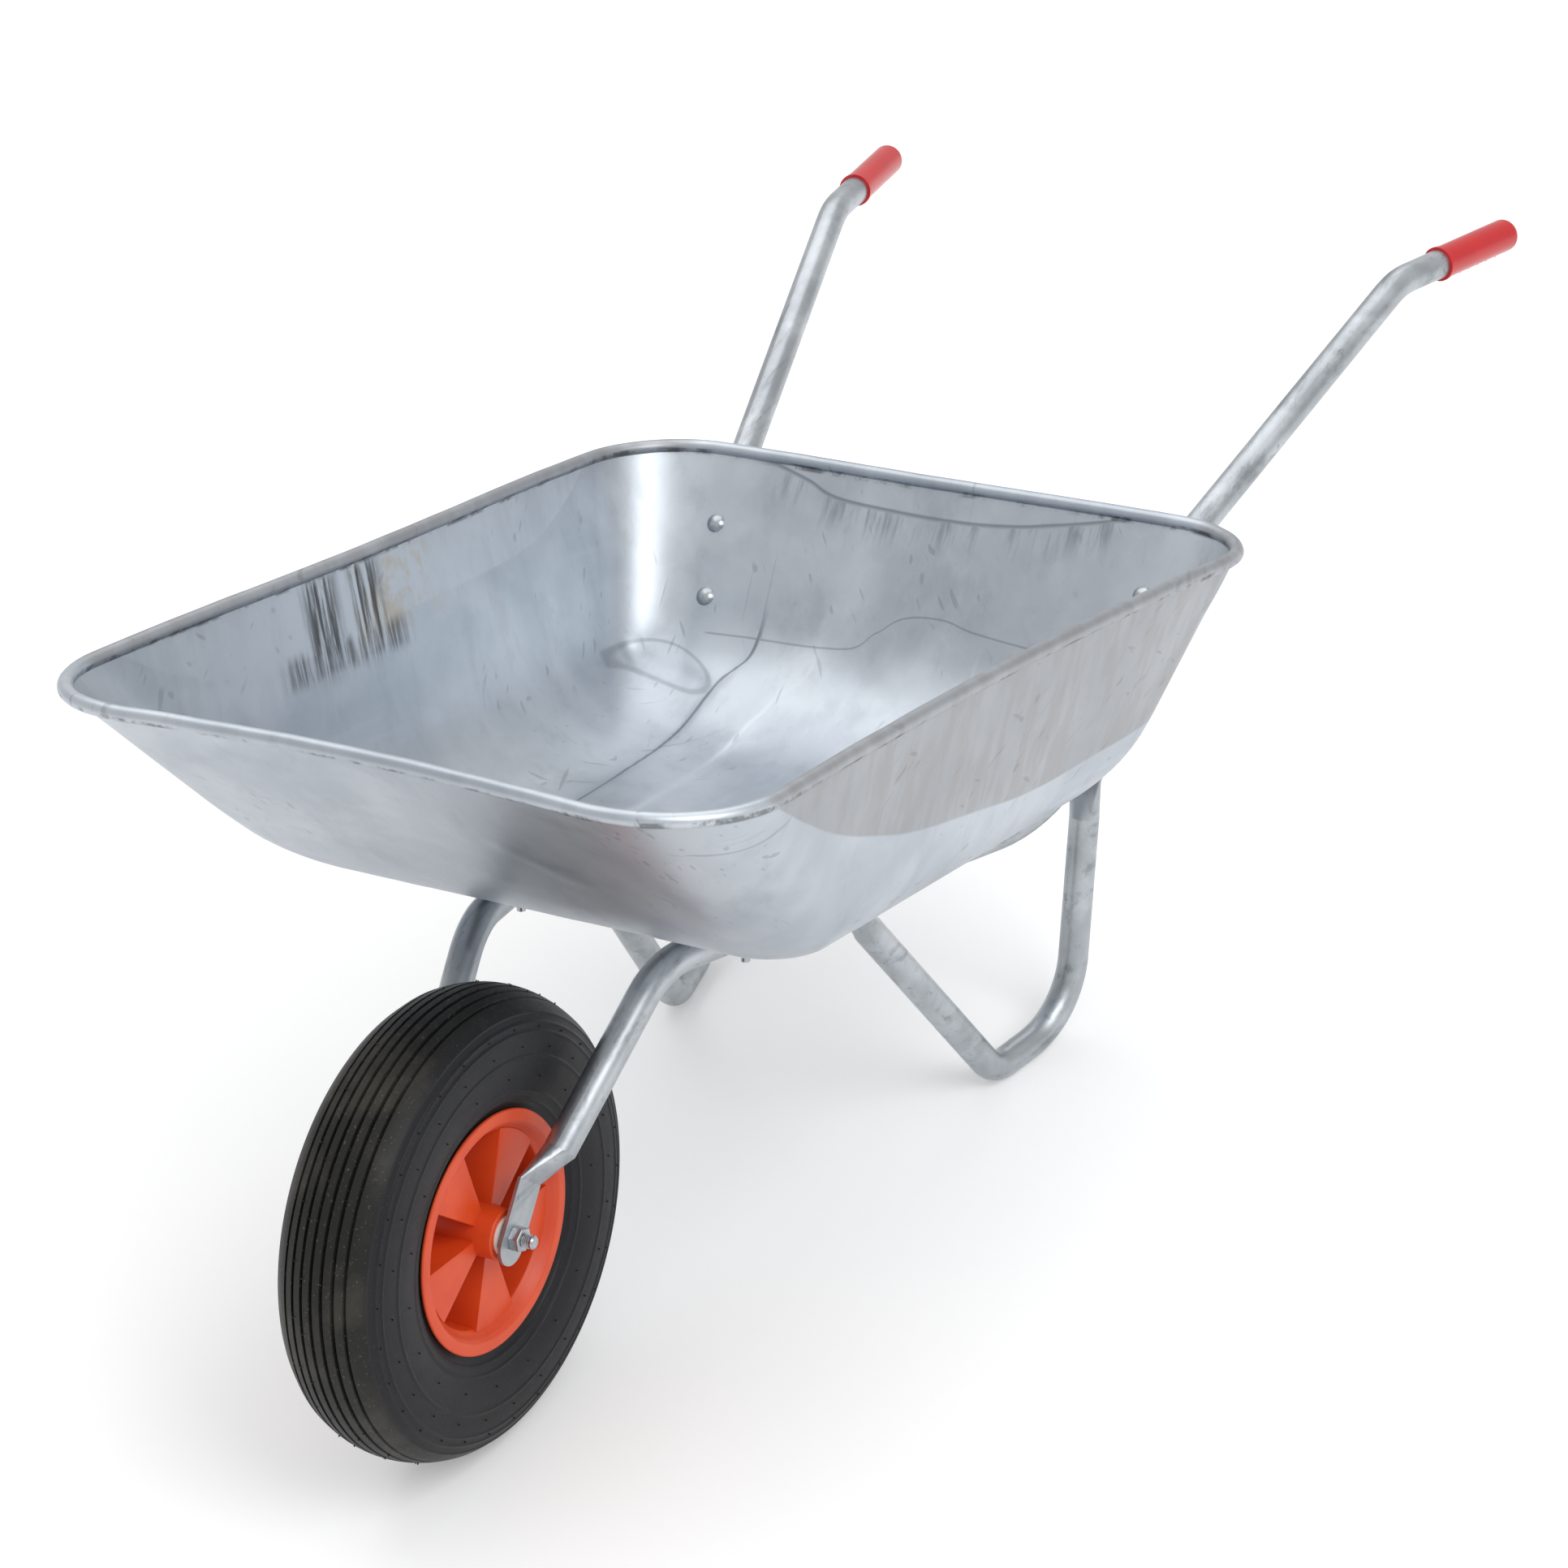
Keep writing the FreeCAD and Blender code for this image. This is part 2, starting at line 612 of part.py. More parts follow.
def axle_spacers():
    first = HUB_HALF_LENGTH + BUSH_FLANGE + BODY_GAP
    length = TAB_INNER - LOOSE_FIT - first
    left = ring(AXLE + LEFT * first, LEFT, SPACER_RADIUS, SLEEVE_RADIUS + LOOSE_FIT, length)
    right = ring(AXLE - LEFT * (first + length), LEFT, SPACER_RADIUS, SLEEVE_RADIUS + LOOSE_FIT, length)
    return [left, right]


# ------------------------------------------------------------------ wheel
def turned(points):
    """Closed section of (across, radius) points, turned about the axle."""
    corners = [AXLE + Vector(0, across, radius) for across, radius in points]
    face = Part.Face(Part.makePolygon(corners + corners[:1]))
    return face.revolve(AXLE, LEFT, 360)


def hub_bush(side):
    """Plain bearing pressed into one end of the hub."""
    way = LEFT * side
    inner = SLEEVE_RADIUS + RUNNING_FIT
    start = AXLE + way * (HUB_HALF_LENGTH - BUSH_LENGTH)
    body = ring(start, way, BUSH_RADIUS, inner, BUSH_LENGTH)
    flange = ring(AXLE + way * HUB_HALF_LENGTH, way, BUSH_FLANGE_RADIUS, inner, BUSH_FLANGE)
    return body.fuse(flange)


def sector(inner, outer, half_angle, side_cut, low, high):
    """Wedge about the axle between two radii, its sides moved in by side_cut."""
    a = math.radians(half_angle)

    def at(radius, turn):
        shift = math.asin(side_cut / radius)
        angle = turn * (a - shift)
        return AXLE + Vector(radius * math.cos(angle), low, radius * math.sin(angle))

    outline = Part.Wire(
        [
            Part.Arc(at(inner, -1), at(inner, 0), at(inner, 1)).toShape(),
            Part.makeLine(at(inner, 1), at(outer, 1)),
            Part.Arc(at(outer, 1), at(outer, 0), at(outer, -1)).toShape(),
            Part.makeLine(at(outer, -1), at(inner, -1)),
        ]
    )
    return Part.Face(outline).extrude(LEFT * (high - low))


def spoke(index):
    """Fan spoke with a flat outer face, hollow behind."""
    inside = RIM_WELL_RADIUS - RIM_WALL
    outer = sector(HUB_RADIUS - 2, inside + 1, SPOKE_HALF_ANGLE, 0, -SPOKE_FACE, SPOKE_FACE)
    hollow = sector(
        HUB_RADIUS + 4 * SPOKE_WALL,
        inside - SPOKE_WALL,
        SPOKE_HALF_ANGLE,
        SPOKE_WALL,
        -SPOKE_FACE - OVERCUT,
        SPOKE_FACE - SPOKE_WALL,
    )
    wedge = outer.cut(hollow)
    wedge.rotate(AXLE, LEFT, -(SPOKE_PHASE + index * 360 / SPOKES))
    return wedge


def wheel_rim():
    """Moulded rim: barrel with two flanges, fan spokes and a long hub."""
    seat = RIM_HALF_WIDTH - FLANGE_THICKNESS
    well = RIM_WELL_RADIUS
    inside = well - RIM_WALL
    lip = RIM_FLANGE_RADIUS - FLANGE_LIP
    outer = [(0, well), (RIM_WELL_HALF_WIDTH, well), (BEAD_SEAT_START, BEAD_SEAT_RADIUS)]
    outer += [(seat, BEAD_SEAT_RADIUS)]
    outer += [(seat, RIM_FLANGE_RADIUS - 1), (seat + 1, RIM_FLANGE_RADIUS)]
    outer += [(seat + 2.4, RIM_FLANGE_RADIUS - 0.4), (RIM_HALF_WIDTH, RIM_FLANGE_RADIUS - 2.4)]
    outer += [(RIM_HALF_WIDTH, lip), (RIM_HALF_WIDTH - 2, lip - 3), (SPOKE_FACE, inside + 2)]
    half = outer + [(RIM_WELL_HALF_WIDTH, inside)]
    barrel = turned(half + [(0, inside)] + [(-a, r) for a, r in reversed(half[1:])])
    hub = rod(AXLE - LEFT * HUB_HALF_LENGTH, LEFT, HUB_RADIUS, 2 * HUB_HALF_LENGTH)
    wheel = barrel.fuse([hub] + [spoke(i) for i in range(SPOKES)])
    bores = [rod(AXLE - LEFT * 2 * HUB_HALF_LENGTH, LEFT, SLEEVE_RADIUS + 1, 4 * HUB_HALF_LENGTH)]
    for side in (1, -1):
        way = LEFT * side
        start = AXLE + way * (HUB_HALF_LENGTH - BUSH_LENGTH - SEAT_FIT)
        bores.append(rod(start, way, BUSH_RADIUS + LOOSE_FIT, BUSH_LENGTH + OVERCUT))
    bores.append(valve_rod(0, TYRE_RADIUS, VALVE_RADIUS + HOLE_FIT).common(turned(
        [(-20, inside - 5), (20, inside - 5), (20, BEAD_SEAT_RADIUS + 5), (-20, BEAD_SEAT_RADIUS + 5)]
    )))
    return wheel.cut(bores)


def tyre_profile(inset, foot_half, foot_radius):
    """Tyre section, inset from its outer face, down to a flat foot."""
    def at(across, radius):
        return AXLE + Vector(0, across, radius)

    waist = (TYRE_RADIUS + RIM_FLANGE_RADIUS) / 2
    crown = TYRE_RADIUS - inset
    shoulder = (SHOULDER_HALF_WIDTH - inset * 0.7, TYRE_RADIUS - SHOULDER_DROP - inset * 0.8)
    half = TYRE_HALF_WIDTH - inset
    edges = [
        Part.Arc(at(-shoulder[0], shoulder[1]), at(0, crown), at(*shoulder)).toShape(),
        Part.Arc(at(*shoulder), at(half, waist), at(foot_half, RIM_FLANGE_RADIUS + 1)).toShape(),
        Part.makeLine(at(foot_half, RIM_FLANGE_RADIUS + 1), at(foot_half, foot_radius)),
        Part.makeLine(at(foot_half, foot_radius), at(-foot_half, foot_radius)),
        Part.makeLine(at(-foot_half, foot_radius), at(-foot_half, RIM_FLANGE_RADIUS + 1)),
        Part.Arc(
            at(-foot_half, RIM_FLANGE_RADIUS + 1), at(-half, waist), at(-shoulder[0], shoulder[1])
        ).toShape(),
    ]
    return Part.Face(Part.Wire(edges)).revolve(AXLE, LEFT, 360)


BEAD_HALF = RIM_HALF_WIDTH - FLANGE_THICKNESS - LOOSE_FIT
BEAD_FOOT = BEAD_SEAT_RADIUS + LOOSE_FIT
BEAD_INSIDE = BEAD_HALF - 1.4 * TYRE_WALL


def tyre():
    """Ribbed pneumatic tyre, open between its two beads."""
    body = tyre_profile(0, BEAD_HALF, BEAD_FOOT)
    cavity = tyre_profile(TYRE_WALL, BEAD_INSIDE, BEAD_FOOT - OVERCUT)
    grooves = []
    for i in range(TREAD_GROOVES):
        across = (i - (TREAD_GROOVES - 1) / 2) * GROOVE_PITCH
        sink = SHOULDER_DROP * (across / SHOULDER_HALF_WIDTH) ** 2
        bottom = TYRE_RADIUS - sink - GROOVE_DEPTH
        start = AXLE + LEFT * (across - GROOVE_WIDTH / 2)
        grooves.append(ring(start, LEFT, TYRE_RADIUS + OVERCUT, bottom, GROOVE_WIDTH))
    return body.cut([cavity] + grooves)


def inner_tube():
    """Air tube that fills the tyre and rests on the rim's bead seats."""
    skin = TYRE_WALL + BODY_GAP
    foot = BEAD_INSIDE - BODY_GAP
    body = tyre_profile(skin, foot, BEAD_FOOT)
    air = tyre_profile(skin + INNER_TUBE_WALL, foot - INNER_TUBE_WALL, BEAD_FOOT + INNER_TUBE_WALL)
    return body.cut([air, valve_rod(0, TYRE_RADIUS * 0.6, VALVE_RADIUS + LOOSE_FIT)])


def valve_rod(first, last, radius):
    """Rod along the valve's own line, between two distances from the axle."""
    way = direction(VALVE_ANGLE)
    return rod(AXLE + LEFT * VALVE_OFFSET + way * first, way, radius, last - first)


VALVE_TOP = BEAD_SEAT_RADIUS + INNER_TUBE_WALL + 1
VALVE_TIP = VALVE_TOP - VALVE_LENGTH


def valve_stem():
    body = valve_rod(VALVE_TIP, VALVE_TOP, VALVE_RADIUS)
    return body.cut(valve_rod(VALVE_TIP - OVERCUT, VALVE_TOP + OVERCUT, VALVE_BORE_RADIUS))


def valve_cap():
    low = VALVE_TIP - WASHER_THICKNESS
    cap = valve_rod(low, low + VALVE_CAP_LENGTH, VALVE_CAP_RADIUS)
    bore = valve_rod(VALVE_TIP - SEAT_FIT, low + VALVE_CAP_LENGTH + OVERCUT, VALVE_RADIUS + LOOSE_FIT)
    return cap.cut(bore)


# ------------------------------------------------------------------ whole barrow
def barrow():
    """Every node and its solids."""
    nodes = {
        "pan": [pan()],
        "wheel_rim": [wheel_rim()],
        "tyre": [tyre()],
        "inner_tube": [inner_tube()],
        "valve_stem": [valve_stem()],
        "valve_cap": [valve_cap()],
        "axle_bolt": [axle_bolt()],
        "axle_nut": [axle_nut()],
        "axle_sleeve": [axle_sleeve()],
        "axle_spacers": axle_spacers(),
        "pan_bolts_short": every_bolt(pan_bolt, (False,)),
        "pan_bolts_long": every_bolt(pan_bolt, (True,)),
        "pan_washers": every_bolt(pan_washer),
        "pan_nuts": every_bolt(pan_nut),
    }
    for name, side in (("left", 1), ("right", -1)):
        nodes["frame_tube_" + name] = [frame_tube(side)]
        nodes["leg_" + name] = [leg(side)]
        nodes["grip_" + name] = [grip(side)]
        nodes["hub_bush_" + name] = [hub_bush(side)]
    return nodes


def main():
    os.makedirs("parts", exist_ok=True)
    nodes = barrow()
    rear = min(solid.BoundBox.XMin for solid in nodes["grip_left"])
    middle = Vector(-(TYRE_RADIUS + rear) / 2, 0, 0)
    for name, solids in nodes.items():
        pieces = []
        for solid in solids:
            for piece in solid.Solids:
                piece = piece.copy()
                piece.translate(middle)
                pieces.append(piece)
        shape = pieces[0] if len(pieces) == 1 else Part.makeCompound(pieces)
        shape.exportStep("parts/" + name + ".step")
        print(name, len(pieces), shape.isValid(), round(shape.Volume / 1000, 1), "cm3")
    print("axle at x", round(middle.x, 2), "rim front height", round(RIM_FRONT_HEIGHT, 1))


main()
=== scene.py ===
"""Looks of a single-wheel garden barrow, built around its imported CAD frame.

Everything is in metres in the frame's own axes: +X is forward, +Y is the user's left, +Z is up.
"""

import json
import logging
import math
from dataclasses import dataclass, field
from enum import Enum
from typing import Callable, ClassVar, Sequence

import bmesh
import bpy
from mathutils import Matrix, Vector, noise

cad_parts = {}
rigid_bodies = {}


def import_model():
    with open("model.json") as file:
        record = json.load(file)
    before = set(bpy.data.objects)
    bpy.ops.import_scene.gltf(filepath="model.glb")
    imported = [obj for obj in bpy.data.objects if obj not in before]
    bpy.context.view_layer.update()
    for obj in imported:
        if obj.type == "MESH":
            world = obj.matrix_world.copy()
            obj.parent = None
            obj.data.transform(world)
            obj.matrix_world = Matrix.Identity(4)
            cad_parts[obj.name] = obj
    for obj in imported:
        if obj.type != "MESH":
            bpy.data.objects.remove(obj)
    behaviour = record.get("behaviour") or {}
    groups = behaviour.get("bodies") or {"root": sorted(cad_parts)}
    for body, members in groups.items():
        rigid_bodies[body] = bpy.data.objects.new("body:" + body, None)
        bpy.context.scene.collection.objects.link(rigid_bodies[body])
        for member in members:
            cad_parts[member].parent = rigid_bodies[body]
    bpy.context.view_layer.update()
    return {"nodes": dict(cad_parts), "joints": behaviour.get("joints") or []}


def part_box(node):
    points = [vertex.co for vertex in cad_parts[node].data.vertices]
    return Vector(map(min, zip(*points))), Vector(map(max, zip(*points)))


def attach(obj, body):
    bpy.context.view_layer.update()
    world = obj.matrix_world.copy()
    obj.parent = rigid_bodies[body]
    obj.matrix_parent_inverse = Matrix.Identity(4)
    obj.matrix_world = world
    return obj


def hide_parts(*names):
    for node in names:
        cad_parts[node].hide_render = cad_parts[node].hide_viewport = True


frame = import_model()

log = logging.getLogger("barrow")

Point = tuple[float, float, float]
Colour = tuple[float, float, float]
Table = tuple[tuple[float, float], ...]
AXLE = Vector(frame["joints"][0]["pos_m"])
TAU = 2 * math.pi


class Side(Enum):
    """Which side of the barrow a piece is on."""

    LEFT = 1
    RIGHT = -1

    @property
    def word(self) -> str:
        """The side's name as it is used in piece names."""
        return self.name.lower()


class Metal(Enum):
    """The zinc finishes on the barrow's tubes and fasteners."""

    DRAWN = "drawn"
    PLATED = "plated"


# ------------------------------------------------------------------ general modelling helpers
def deselect() -> None:
    """Leaves object mode with nothing selected."""
    if bpy.context.object and bpy.context.object.mode != "OBJECT":
        bpy.ops.object.mode_set(mode="OBJECT")
    bpy.ops.object.select_all(action="DESELECT")


def take(piece: bpy.types.Object) -> bpy.types.Object:
    """Makes one object the only selected and active one."""
    deselect()
    piece.select_set(True)
    bpy.context.view_layer.objects.active = piece
    return piece


def named(name: str) -> bpy.types.Object:
    """Names the active object and its data."""
    piece = bpy.context.object
    piece.name = name
    piece.data.name = name
    return piece


def settle(piece: bpy.types.Object) -> bpy.types.Object:
    """Puts a piece's place into its mesh, so that the object sits at the origin."""
    take(piece)
    bpy.ops.object.transform_apply(location=True, rotation=True, scale=True)
    return piece


def clean(piece: bpy.types.Object, distance: float = 1e-5) -> None:
    """Merges doubled points and turns every face outwards.

    Args:
        piece: The mesh object to clean.
        distance: Points closer than this are merged.
    """
    take(piece)
    bpy.ops.object.mode_set(mode="EDIT")
    bpy.ops.mesh.select_all(action="SELECT")
    bpy.ops.mesh.remove_doubles(threshold=distance)
    bpy.ops.mesh.normals_make_consistent(inside=False)
    bpy.ops.object.mode_set(mode="OBJECT")


def smooth(piece: bpy.types.Object, degrees: float = 35.0) -> None:
    """Shades a piece smooth, except across edges sharper than an angle.

    Args:
        piece: The mesh object to shade.
        degrees: Edges that turn by more than this stay sharp.
    """
    take(piece)
    bpy.ops.object.shade_smooth_by_angle(angle=math.radians(degrees))


def apply_modifiers(piece: bpy.types.Object) -> None:
    """Applies every modifier on a piece, in order."""
    take(piece)
    for name in [m.name for m in piece.modifiers]:
        bpy.ops.object.modifier_apply(modifier=name)


def choose_faces(
    piece: bpy.types.Object, wanted: Callable[[bpy.types.MeshPolygon], bool]
) -> None:
    """Leaves the active piece in edit mode with only the wanted faces selected.

    Args:
        piece: The active mesh object.
        wanted: Tells of a face whether it is wanted.
    """
    bpy.ops.object.mode_set(mode="EDIT")
    bpy.ops.mesh.select_all(action="DESELECT")
    bpy.ops.object.mode_set(mode="OBJECT")
    for face in piece.data.polygons:
        face.select = wanted(face)
    bpy.ops.object.mode_set(mode="EDIT")
    bpy.ops.mesh.select_mode(type="FACE")


def round_edges(piece: bpy.types.Object, width: float, segments: int, degrees: float) -> None:
    """Rounds a piece's sharp edges.

    Args:
        piece: The mesh object.
        width: Width of the rounding in metres.
        segments: Facets across it.
        degrees: Edges that turn by more than this are rounded.
    """
    edge = piece.modifiers.new("rounding", "BEVEL")
    edge.width = width
    edge.segments = segments
    edge.limit_method = "ANGLE"
    edge.angle_limit = math.radians(degrees)
    apply_modifiers(piece)


def join(pieces: Sequence[bpy.types.Object], name: str) -> bpy.types.Object:
    """Joins pieces into the first one.

    Args:
        pieces: The mesh objects to join.
        name: The name of the joined piece.

    Returns:
        The joined object.
    """
    deselect()
    for piece in pieces:
        piece.select_set(True)
    bpy.context.view_layer.objects.active = pieces[0]
    bpy.ops.object.join()
    return named(name)


def copy_of(piece: bpy.types.Object, place: Matrix) -> bpy.types.Object:
    """Copies a piece with its own mesh, and moves the mesh.

    Args:
        piece: The object to copy.
        place: The transform given to the copy's mesh.

    Returns:
        The new object.
    """
    twin = piece.copy()
    twin.data = piece.data.copy()
    twin.data.transform(place)
    bpy.context.scene.collection.objects.link(twin)
    return twin


def drawn_line(name: str, points: Sequence[Point], closed: bool = False) -> bpy.types.Object:
    """Draws a line of edges by extruding one point from place to place.

    Args:
        name: Name of the new object.
        points: The places to pass through, in metres.
        closed: Whether the last point is joined to the first.

    Returns:
        The mesh object, still in object mode.
    """
    deselect()
    bpy.ops.mesh.primitive_plane_add(size=0.001, location=points[0])
    piece = named(name)
    bpy.ops.object.transform_apply(location=True, rotation=False, scale=False)
    bpy.ops.object.mode_set(mode="EDIT")
    bpy.ops.mesh.select_mode(type="VERT")
    bpy.ops.mesh.select_all(action="SELECT")
    bpy.ops.mesh.merge(type="CENTER")
    path = [*points, points[0]] if closed else points
    for start, end in zip(path, path[1:]):
        step = Vector(end) - Vector(start)
        bpy.ops.mesh.extrude_region_move(TRANSFORM_OT_translate={"value": step})
    if closed:
        bpy.ops.mesh.select_all(action="SELECT")
        bpy.ops.mesh.remove_doubles(threshold=1e-6)
    bpy.ops.object.mode_set(mode="OBJECT")
    return piece


def lathe(
    name: str,
    section: Sequence[tuple[float, float]],
    centre: Vector,
    axis: Vector,
    steps: int,
    closed: bool = False,
) -> bpy.types.Object:
    """Spins a section about an axis, as on a lathe.

    Args:
        name: Name of the new piece.
        section: Points of (distance along the axis, radius), in metres.
        centre: A point of the axis, from which the distances run.
        axis: Unit vector along the axis.
        steps: Number of facets round the axis.
        closed: Whether the section's last point joins its first.

    Returns:
        The piece, merged and with its faces outwards.
    """
    across = axis.orthogonal().normalized()
    points = [centre + axis * along + across * radius for along, radius in section]
    if closed:
        points.append(points[0])
    piece = drawn_line(name, points)
    take(piece)
    bpy.ops.object.mode_set(mode="EDIT")
    bpy.ops.mesh.select_all(action="SELECT")
    bpy.ops.mesh.spin(steps=steps, angle=TAU, center=centre, axis=axis, use_auto_merge=True)
    bpy.ops.object.mode_set(mode="OBJECT")
    clean(piece)
    return piece


def rounded(
    corners: Sequence[tuple[float, float, float]], segments: int = 4, closed: bool = False
) -> list[tuple[float, float]]:
    """Rounds the corners of a section.

    Args:
        corners: Points of (along, radius, corner radius).
        segments: Facets in each rounded corner.
        closed: Whether the section is a closed loop.

    Returns:
        The section's points with each corner replaced by an arc.
    """
    result: list[tuple[float, float]] = []
    count = len(corners)
    for i, (x, y, r) in enumerate(corners):
        if r <= 0 or (not closed and i in (0, count - 1)):
            result.append((x, y))
            continue
        here = Vector((x, y))
        back = (Vector(corners[i - 1][:2]) - here).normalized()
        ahead = (Vector(corners[(i + 1) % count][:2]) - here).normalized()
        half = back.angle(ahead) / 2
        reach = r / math.tan(half)
        centre = here + (back + ahead).normalized() * (r / math.sin(half))
        first = here + back * reach - centre
        turn = (here + ahead * reach - centre).angle_signed(first)
        for k in range(segments + 1):
            a = turn * k / segments
            c, s = math.cos(a), math.sin(a)
            arm = Vector((first.x * c - first.y * s, first.x * s + first.y * c))
            result.append(tuple(centre + arm))
    return result


def smoothstep(low: float, high: float, value: float) -> float:
    """Rises from 0 at low to 1 at high, with no corner."""
    t = min(1.0, max(0.0, (value - low) / (high - low)))
    return t * t * (3 - 2 * t)


# ------------------------------------------------------------------ shader helpers
class Wire:
    """A socket that can be used in sums, so that shader maths reads as maths."""

    def __init__(self, paint: "Paint", socket: bpy.types.NodeSocket) -> None:
        """Wraps one output socket of a material's nodes."""
        self.paint = paint
        self.socket = socket

    def _do(self, operation: str, *values: "Wire | float", clamp: bool = False) -> "Wire":
        """Adds one Math node for an operation on values."""
        settings = {"operation": operation, "use_clamp": clamp}
        return self.paint.node("ShaderNodeMath", settings, dict(enumerate(values)))

    def __add__(self, other: "Wire | float") -> "Wire":
        """Sum of two values."""
        return self._do("ADD", self, other)

    __radd__ = __add__

    def __sub__(self, other: "Wire | float") -> "Wire":
        """Difference of two values."""
        return self._do("SUBTRACT", self, other)

    def __rsub__(self, other: "Wire | float") -> "Wire":
        """Difference, from a plain number."""
        return self._do("SUBTRACT", other, self)

    def __mul__(self, other: "Wire | float") -> "Wire":
        """Product of two values."""
        return self._do("MULTIPLY", self, other)

    __rmul__ = __mul__

    def __truediv__(self, other: "Wire | float") -> "Wire":
        """Quotient of two values."""
        return self._do("DIVIDE", self, other)

    def __pow__(self, other: float) -> "Wire":
        """A value raised to a power."""
        return self._do("POWER", self, other)

    def lower(self, other: "Wire | float") -> "Wire":
        """The smaller of two values."""
        return self._do("MINIMUM", self, other)

    def higher(self, other: "Wire | float") -> "Wire":
        """The larger of two values."""
        return self._do("MAXIMUM", self, other)

    def size(self) -> "Wire":
        """The value without its sign."""
        return self._do("ABSOLUTE", self)

    def sine(self) -> "Wire":
        """Sine of the value in radians."""
        return self._do("SINE", self)

    def step(self, low: float, high: float) -> "Wire":
        """Rises smoothly from 0 at low to 1 at high.

        Args:
            low: Where the result is 0.
            high: Where the result is 1; it may be under low.

        Returns:
            The remapped value.
        """
        turned = low > high
        first, last = (high, low) if turned else (low, high)
        rise = self.paint.node(
            "ShaderNodeMapRange",
            {"interpolation_type": "SMOOTHSTEP"},
            {"Value": self, "From Min": first, "From Max": last},
        )
        return 1 - rise if turned else rise


class Paint:
    """One material under construction, with a plain way to add each kind of node."""

    def __init__(self, name: str) -> None:
        """Starts an empty material with a principled shader."""
        self.material = bpy.data.materials.new(name)
        self.material.use_nodes = True
        self.tree = self.material.node_tree
        self.shader = self.tree.nodes["Principled BSDF"]

    def node(
        self,
        kind: str,
        settings: dict[str, object] | None = None,
        inputs: dict[str | int, object] | None = None,
        output: str | int = 0,
    ) -> Wire:
        """Adds a node.

        Args:
            kind: Blender's name of the node type.
            settings: Attributes of the node, which are set first.
            inputs: Values or wires for the node's sockets.
            output: The output socket to return.

        Returns:
            The chosen output as a wire.
        """
        made = self.tree.nodes.new(kind)
        for key, value in (settings or {}).items():
            setattr(made, key, value)
        for key, value in (inputs or {}).items():
            self.feed(made.inputs[key], value)
        return Wire(self, made.outputs[output])

    def feed(self, socket: bpy.types.NodeSocket, value: object) -> None:
        """Links a wire to a socket, or sets the socket's own value."""
        if isinstance(value, Wire):
            self.tree.links.new(value.socket, socket)
        elif socket.type == "RGBA" and len(value) == 3:
            socket.default_value = (*value, 1.0)
        else:
            socket.default_value = value

    def place(self, turn: Point = (0, 0, 0), move: Point = (0, 0, 0)) -> Wire:
        """The piece's own coordinates in metres, turned and moved for a pattern.

        Args:
            turn: Turns about X, Y and Z in radians.
            move: Shift added last.

        Returns:
            The vector output.
        """
        spot = self.node("ShaderNodeTexCoord", output="Object")
        values = {"Vector": spot, "Location": move, "Rotation": turn}
        return self.node("ShaderNodeMapping", {"vector_type": "POINT"}, values)

    def stretch(self, where: Wire, scale: Point) -> Wire:
        """Coordinates multiplied along each axis, so that a pattern is drawn out."""
        return self.node("ShaderNodeMapping", None, {"Vector": where, "Scale": scale})

    def noise(
        self,
        where: Wire,
        scale: float,
        detail: float = 4.0,
        rough: float = 0.55,
        warp: float = 0.0,
    ) -> Wire:
        """Cloudy noise between about 0.3 and 0.7.

        Args:
            where: The pattern's coordinates.
            scale: Cycles in a metre.
            detail: Number of finer layers.
            rough: Strength of the finer layers.
            warp: How far the pattern is drawn into wisps.

        Returns:
            The noise value.
        """
        values = {"Vector": where, "Scale": scale, "Detail": detail}
        values |= {"Roughness": rough, "Distortion": warp}
        return self.node("ShaderNodeTexNoise", None, values)

    def cells(self, where: Wire, scale: float) -> Wire:
        """A random colour for each cell of a cellular pattern."""
        settings, values = {"feature": "F1"}, {"Vector": where, "Scale": scale}
        return self.node("ShaderNodeTexVoronoi", settings, values, "Color")

    def blend(self, share: Wire | float, first: Wire | Colour, second: Wire | Colour) -> Wire:
        """Mixes two colours.

        Args:
            share: 0 gives the first colour and 1 the second.
            first: Colour or colour wire.
            second: Colour or colour wire.

        Returns:
            The mixed colour.
        """
        made = self.tree.nodes.new("ShaderNodeMix")
        made.data_type = "RGBA"
        self.feed(made.inputs["Factor"], share)
        colours = [s for s in made.inputs if s.type == "RGBA"]
        self.feed(colours[0], first)
        self.feed(colours[1], second)
        return Wire(self, [s for s in made.outputs if s.type == "RGBA"][0])

    def curve(self, value: Wire, points: Sequence[tuple[float, float]]) -> Wire:
        """Draws a smooth curve through points, as a function of a value.

        Args:
            value: What the curve is read at.
            points: (value, result) pairs in rising order; past the ends the result stays.

        Returns:
            The result.
        """
        first, last = points[0][0], points[-1][0]
        low = min(y for _, y in points)
        reach = max(y for _, y in points) - low
        share = (value - first) / (last - first)
        drawn = self.node("ShaderNodeFloatCurve", None, {"Value": share.higher(0.0).lower(1.0)})
        line = drawn.socket.node.mapping.curves[0]
        for _ in points[2:]:
            line.points.new(0.5, 0.5)
        for dot, (x, y) in zip(line.points, points):
            dot.location = ((x - first) / (last - first), (y - low) / reach)
        drawn.socket.node.mapping.update()
        return drawn * reach + low

    def attribute(self, name: str) -> Wire:
        """A number stored on the piece's points."""
        return self.node("ShaderNodeAttribute", {"attribute_name": name}, None, "Fac")

    def bump(
        self, height: Wire, distance: float, strength: float = 1.0, under: Wire | None = None
    ) -> Wire:
        """Turns a height into a surface normal.

        Args:
            height: Height value.
            distance: Depth in metres of a height of one.
            strength: Share of the effect that shows.
            under: Another bump that this one lies on.

        Returns:
            The normal.
        """
        values = {"Height": height, "Distance": distance, "Strength": strength}
        if under is not None:
            values["Normal"] = under
        return self.node("ShaderNodeBump", None, values)

